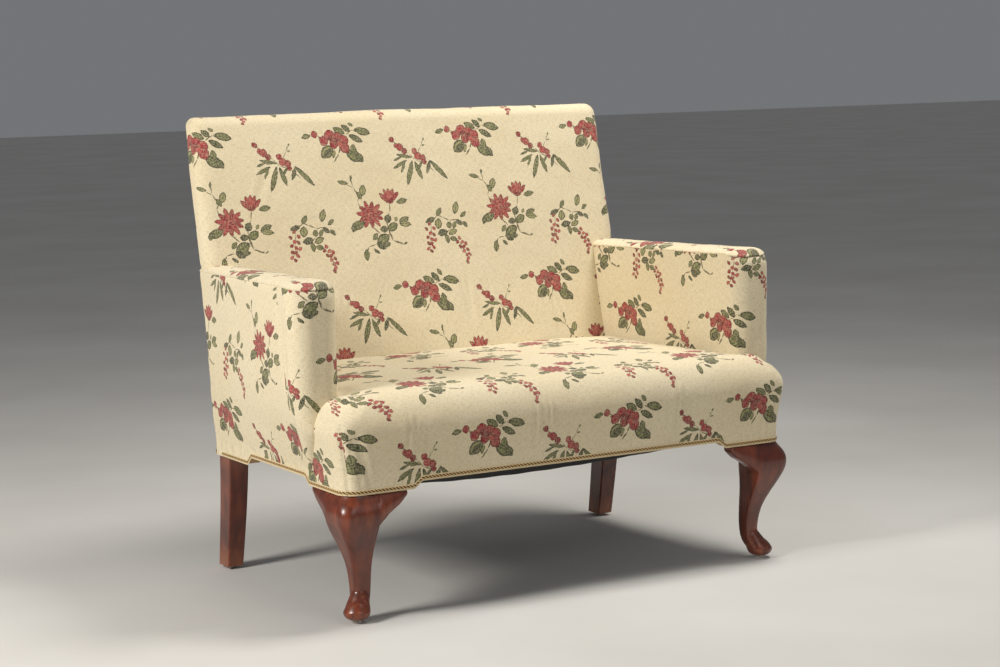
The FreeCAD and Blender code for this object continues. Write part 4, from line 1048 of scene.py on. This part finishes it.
# Arm tops: a boxed strip of cloth with a soft crown closes each arm, sewn to the side panels
# with a narrow seam that shows as a small roll.
def close_over(rim, ridge_x, ridge_y, shares, rise=0.0):
    """Rows that close a skin from its rim to a ridge, and rise a little on the way."""
    closing = []
    for share in shares:
        x = rim[:, 0] + (ridge_x - rim[:, 0]) * share
        y = rim[:, 1] + (ridge_y - rim[:, 1]) * share
        closing.append(np.stack([x, y, rim[:, 2] + rise * math.sin(share * math.pi / 2)], 1))
    return closing


arm_crown = 12.0
top_roll = 26.0
seam_roll = roll_over_front(arm_seam)
strip_rows = []
for rise, draw in ((-1.5, 2.2), (0.2, 0.2), (1.4, -0.4), (2.8, 0.0)):
    ring = arm_ring(arm_seam, draw, seam_roll)
    strip_rows.append(np.column_stack([ring, arm_slope(arm_seam, ring[:, 1]) + rise]))
for turn in np.radians(np.linspace(18, 90, 9)):
    draw = 1 - math.cos(turn)
    ring = arm_ring(arm_seam, top_roll * draw, seam_roll + 6 * draw)
    strip_rows.append(np.column_stack([ring, arm_slope(arm_seam, ring[:, 1]) + arm_crown * math.sin(turn)]))
rim = strip_rows[-1]
middle_y = np.clip(rim[:, 1], arm_front_y + 54.0, back_rear_line(arm_seam) - 10.0)
middle_x = -(arm_inner_x(middle_y) + arm_outer_x(middle_y, arm_seam)) / 2
strip = np.array(strip_rows + close_over(rim, middle_x, middle_y, (0.2, 0.4, 0.6, 0.8, 0.97), rise=2.0))
strip = strip + surface_normals(strip) * (0.5 * gentle_waves(strip, spacing=120, seed=11))[..., None]
strip_u_shift, strip_v_shift = 181.6, 930.0
for side, sign in (("left", 1), ("right", -1)):
    points = strip * (sign, 1, 1)
    u_pairs = face_sides(strip_u_shift - points[..., 1] - front_y)
    v_pairs = face_sides(points[-1, :, 0] - points[..., 0] + strip_v_shift)
    if side == "right":
        points, u_pairs, v_pairs = turn_over(points, u_pairs, v_pairs)
    strip_piece = sew(f"arm_top_{side}", points, u_pairs, v_pairs, printed_cloth)
    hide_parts(f"arm_top_strip_{side}")

# Inside back: hair and wadding under a single width of cloth that goes over the top and round
# the sides to the rear, where it is tacked. It is fullest just above the seat.
back_low, back_high = (np.array(p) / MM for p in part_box("inside_back_cover"))
back_top = back_high[2]
back_half, back_half_low = back_high[0], back_high[0] - 5.0
back_radius, back_rear_radius = 28.0, 18.0
tightest_front, tightest_rear = 5.0, 4.0
inside_arm, back_taper, widening = 6.0, 4.0, 12.0
behind_panel = 2.0
round_over = 22.0
back_count, back_side_count, back_rear_count = 200, 14, 40


def back_half_x(z):
    """Half the width of the back: narrower between the arms than above them."""
    beside_arms = between(seat_half_rear, arm_outer_rear, z, cloth_straight, arm_flare_top) - inside_arm
    lower = np.minimum(back_half_low, beside_arms)
    upper = back_half - back_taper * (z - arm_seam) / (back_top - arm_seam)
    return between(lower, upper, z, arm_seam - widening, arm_seam + widening)


def back_ring(z, draw_in=0.0):
    """Ring of the back at one height, from the left end of its crowned front."""
    half = back_half_x(z) - draw_in
    y0, y1 = back_edge_line(z) + draw_in, back_rear_line(z) - behind_panel - draw_in
    r, rear_r = max(back_radius - draw_in, tightest_front), max(back_rear_radius - draw_in, tightest_rear)
    x = line(-half + r, half - r, back_count)
    front = np.stack([x, y0 - back_crown(z) * (1 - (x / (half - r)) ** 2)], 1)
    ring = round_plan(front, half, half, y0, y1, r, rear_r, back_side_count, back_rear_count)
    return np.column_stack([ring, np.full(len(ring), z)])


back_level_rows = 84
round_low = back_top - round_over
back_rows = [back_ring(z) for z in np.linspace(back_low[2], round_low, back_level_rows)]
for turn in np.radians(np.linspace(0, 90, 12)[1:]):
    back_rows.append(back_ring(round_low + round_over * math.sin(turn), round_over * (1 - math.cos(turn))))
rim = back_rows[-1]
ridge_y = (rim[:, 1].min() + rim[:, 1].max()) / 2
ridge_x = np.clip(rim[:, 0], -back_half + 60, back_half - 60)
back = np.array(back_rows + close_over(rim, ridge_x, ridge_y, (0.25, 0.5, 0.75, 0.97)))
normals = surface_normals(back)
waves = gentle_waves(back, spacing=260, seed=21) + 0.35 * gentle_waves(back, spacing=70, seed=22)
back = back + normals * waves[..., None]
back_y = back_edge_line(560.0) - 20
back = pull_in_cloth(back, normals, [
    ((-300, back_y, 590), (0.1, 0.2, 1), 110, 9, 3.7),
    ((-262, back_y, 570), (0.16, 0.2, 1), 100, 8, 3.5),
    ((-225, back_y, 556), (0.2, 0.2, 1), 90, 8, 2.8),
    ((90, back_y, 560), (-0.05, 0.2, 1), 110, 10, 3.1),
    ((150, back_y, 552), (-0.12, 0.2, 1), 100, 9, 3.1),
    ((330, back_y, 560), (-0.25, 0.2, 1), 110, 10, 3.5),
    ((-380, back_y + 60, 860), (0.5, 0.2, 1), 120, 12, 3.1),
    ((400, back_y + 60, 850), (-0.5, 0.2, 1), 120, 12, 3.1),
    ((-200, back_y + 85, 985), (0.1, 0.2, 1), 60, 9, 3.1),
    ((60, back_y + 85, 985), (0.1, 0.2, 1), 60, 9, 2.8),
])

# The print of the back is counted both ways from the middle of each ring, and up and down from
# a height of 600 mm, along a line near the left end. A little cloth is eased in at the top.
back_run = run_round(back)
back_u = face_sides(back_run - back_run[:, back_count // 2, None], closed=False)
height_column, level_height = 10, 600.0
eased_from, eased_in = 972.0, 16.0
steps = np.linalg.norm(np.diff(back, axis=0), axis=2)
back_climb = np.concatenate([[0], np.cumsum(steps[:, height_column])])
level_rows = slice(0, back_level_rows)
climb_there = np.interp(level_height, back[level_rows, height_column, 2], back_climb[level_rows])
back_climb = back_climb - climb_there + level_height
back_climb = back_climb + eased_in * ease((back_climb - eased_from) / 30)
back_v = face_sides(np.broadcast_to(back_climb[:, None], back.shape[:2]))
wrapped = np.arange(back.shape[1]) >= back.shape[1] - corner_count - back_side_count - corner_count
back_u = np.where(wrapped[None, :, None], back_u - back_run[:, -1, None, None], back_u)
back_piece = sew("back_upholstery", back, back_u, back_v, printed_cloth)
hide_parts("inside_back_cover", "back_pad")

# Outside back: a flat panel of the same cloth, its edges turned under and slip-stitched over
# the tacked edges of the inside back and the arms, and tacked under the rear rail.
panel_half, _, panel_top = np.array(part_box("outside_back_cover")[1]) / MM
panel_columns, panel_rows = 150, 110
turn_under, edge_lift = 3.0, 1.2
panel_u_shift, panel_v_shift = 60.0, 120.0
panel_x = np.linspace(panel_half, -panel_half, panel_columns)
panel_bottom = lower_edge(panel_x, rear_y)
rows = []
for share in np.linspace(0, 1, panel_rows):
    z = panel_bottom + share * (panel_top - panel_bottom)
    near_edge = np.minimum(panel_half - np.abs(panel_x), panel_top - z)
    lift = edge_lift * ease(near_edge / 40) - turn_under * (1 - ease(near_edge / 7))
    rows.append(np.stack([panel_x, back_rear_line(z) + lift, z], 1))
panel = np.array(rows)
waves = 0.5 * gentle_waves(panel, spacing=240, seed=31)
panel[..., 1] += waves * ease((panel_half - np.abs(panel[..., 0])) / 60)
panel_u = face_sides(-panel[..., 0] + panel_u_shift, closed=False)
panel_v = face_sides(panel[..., 2] + panel_v_shift, closed=False)
panel_piece = sew("outside_back_panel", panel, panel_u, panel_v, printed_cloth, closed=False)
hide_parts("outside_back_cover")

# Braid: woven gimp glued over the tacks along the lower edge all round. A twisted brown and
# gold cord runs along its middle between two pale edges. Its colour is painted darker, as
# shade, in the grooves of the twist.
cord_pitch = 8.0
cord_slope = 1.4
cord_height, cord_reach, cord_twist = 6.6, 2.6, 0.55
braid, tree, surface = new_finish("gimp_braid")
cut = add_node(tree, "UVMap", uv_map="Cloth")
braid_along, braid_height = split(tree, cut)[:2]
slant = reckon(tree, "MULTIPLY_ADD", braid_height, cord_slope, braid_along)
twist = reckon(tree, "SINE", reckon(tree, "MULTIPLY", slant, 2 * math.pi / cord_pitch))
# The cord's brown and gold follow the same twist as its raised strands: gold on the crests, and painted
# shade, near black, in the grooves between them.
cord_colour_and_groove_shade = grade(
    tree, spread(tree, twist, -1.0, 1.0), (0.3, 48, 28, 14), (0.5, 120, 80, 40), (0.75, 206, 170, 106)
)
from_cord = reckon(tree, "ABSOLUTE", reckon(tree, "SUBTRACT", braid_height, cord_height))
fibres = add_node(tree, "TexNoise", {"Vector": cut, "Scale": 1.4, "Detail": 3.0})
pale = grade(tree, fibres, (0.35, 196, 172, 128), (0.65, 230, 212, 172))
gimp = mix_colour(tree, spread(tree, from_cord, 2.9, 2.3), pale, cord_colour_and_groove_shade)
dress(tree, surface, gimp, 0.8, fibres, (0.3, 0.0004))
surface.inputs["Sheen Weight"].default_value = 0.15
profile = np.array([
    (0.3, 0.0), (1.5, 0.5), (1.9, 1.6), (1.2, 3.2), (1.7, 4.4), (2.3, 5.5), (2.5, 6.6), (2.3, 7.7),
    (1.7, 8.8), (1.4, 9.7), (1.4, 10.5), (0.2, 11.0),
])


def lay_braid(name, path, outward, node):
    """A gimp along a path on the cloth's lower edge; outward gives the way out at each point."""
    along_path = np.concatenate([[0], np.cumsum(np.linalg.norm(np.diff(path, axis=0), axis=1))])
    even = np.arange(0, along_path[-1], 1.2)
    place = np.stack([np.interp(even, along_path, path[:, k]) for k in range(3)], 1)
    out = np.stack([np.interp(even, along_path, outward[:, k]) for k in range(2)], 1)
    out /= np.linalg.norm(out, axis=1, keepdims=True)
    rows = []
    for depth, rise in profile:
        cord = max(0.0, 1 - ((rise - cord_height) / cord_reach) ** 2)
        twisted = depth + cord_twist * cord * np.sin((even + cord_slope * rise) * 2 * math.pi / cord_pitch)
        rows.append(np.column_stack([place[:, :2] + out * twisted[:, None], place[:, 2] + rise]))
    points = np.array(rows)
    u = face_sides(np.broadcast_to(even, points.shape[:2]), closed=False)
    v = face_sides(np.broadcast_to(profile[:, 1][:, None], points.shape[:2]), closed=False)
    piece = sew(name, points, u, v, braid, closed=False)
    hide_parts(node)


base = seat_ring(0, 0, 0, corner_radius)
tangent = np.roll(base, -1, 0) - np.roll(base, 1, 0)
base_out = np.stack([tangent[:, 1], -tangent[:, 0]], 1)
base_path = np.column_stack([base, lower_edge(base[:, 0], base[:, 1])])
half_corner = corner_count // 2
front_columns = np.arange(-half_corner, front_count + half_corner + 1)
right_columns = np.arange(front_count + half_corner, front_count + corner_count + side_count + 1)
left_columns = np.arange(len(base) - corner_count - side_count, len(base) - half_corner + 1)
lay_braid("braid_trim_front", base_path[front_columns], base_out[front_columns], "braid_front")
lay_braid("braid_trim_right", base_path[right_columns], base_out[right_columns], "braid_side_right")
lay_braid("braid_trim_left", base_path[left_columns], base_out[left_columns], "braid_side_left")
rear_points = 300
rear_x = np.linspace(seat_half_rear, -seat_half_rear, rear_points)
rear_line = np.full(rear_points, rear_y)
rear_path = np.column_stack([rear_x, rear_line, lower_edge(rear_x * 0.95, rear_line)])
lay_braid("braid_trim_rear", rear_path, np.tile((0.0, 1.0), (rear_points, 1)), "braid_rear")


# Dust cover: thin black cambric tacked under the rails. It has stretched with age and hangs
# down just behind the front rail, where its lower edge shows under the braid.
def sheet_lines(marks):
    """Lines through every mark, with further ones about 10 mm apart in the longer runs."""
    runs = [np.linspace(a, b, max(2, int((b - a) / 9))) for a, b in zip(marks, marks[1:])]
    return np.unique(np.concatenate(runs).round(3))


cambric = clouded_finish(
    "black_cambric", {"Scale": 320.0, "Detail": 4.0}, [(0.4, 24, 23, 22), (0.75, 52, 50, 48)],
    roughness=0.9, relief=(0.3, 0.0003),
)
dust_low, dust_high = (np.array(p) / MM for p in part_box("dust_cover"))
dust_lift, dust_sag, dust_ripple = 0.7, 32.0, 0.7
belly_half, belly_front, belly_rear = 455.0, -336.0, 248.0
between_blocks, side_half, side_reach = 360.0, 494.0, dust_high[0]
inner_front_y, inner_rear_y = -340.0, 250.0
step_front_y, step_rear_y = front_y + side_step_front + 30, front_y + side_step_rear - 30
post_x, stile_y, post_y = 461.0, -316.0, 232.0
half_marks = [between_blocks, post_x, side_half, side_reach]
x_lines = sheet_lines([-mark for mark in half_marks[::-1]] + half_marks)
y_lines = sheet_lines([
    dust_low[1], inner_front_y, stile_y, step_front_y, step_rear_y, post_y, inner_rear_y, dust_high[1]
])
x, y = np.meshgrid(x_lines, y_lines)
across = np.clip(1 - (x / belly_half) ** 2, 0, 1) ** 0.6 * (1 - 0.3 * x / belly_half)
middle_y = (belly_front + belly_rear) / 2
from_middle = (y - middle_y) / (belly_rear - middle_y)
down = np.clip(1 - np.abs(from_middle) ** np.where(y < middle_y, 14, 3), 0, 1)
ripple = dust_ripple * np.sin(x / 13.0) * np.exp(-((y - belly_front) / 60) ** 2) * (down > 0)
z = dust_high[2] - dust_lift - dust_sag * across * down + ripple
kept = []
for i in range(len(y_lines) - 1):
    for j in range(len(x_lines) - 1):
        cx, cy = abs(x_lines[j] + x_lines[j + 1]) / 2, (y_lines[i] + y_lines[i + 1]) / 2
        inside = cx < side_half and inner_front_y < cy < inner_rear_y
        under_sides = step_front_y < cy < step_rear_y
        at_post = cx > post_x and (cy < stile_y or cy > post_y)
        if (cx < between_blocks or inside or under_sides) and not at_post:
            a = i * len(x_lines) + j
            kept.append((a, a + 1, a + len(x_lines) + 1, a + len(x_lines)))
mesh = bpy.data.meshes.new("dust_cover_cloth")
mesh.from_pydata((np.stack([x, y, z], -1).reshape(-1, 3) * MM).tolist(), [], kept)
mesh.polygons.foreach_set("use_smooth", np.ones(len(kept), bool))
mesh.materials.append(cambric)
dust = bpy.data.objects.new("dust_cover_cloth", mesh)
stage.collection.objects.link(dust)
trimmed = bmesh.new()
trimmed.from_mesh(mesh)
bmesh.ops.delete(trimmed, geom=[point for point in trimmed.verts if not point.link_faces])
trimmed.to_mesh(mesh)
trimmed.free()
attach(dust, "root")
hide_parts("dust_cover")
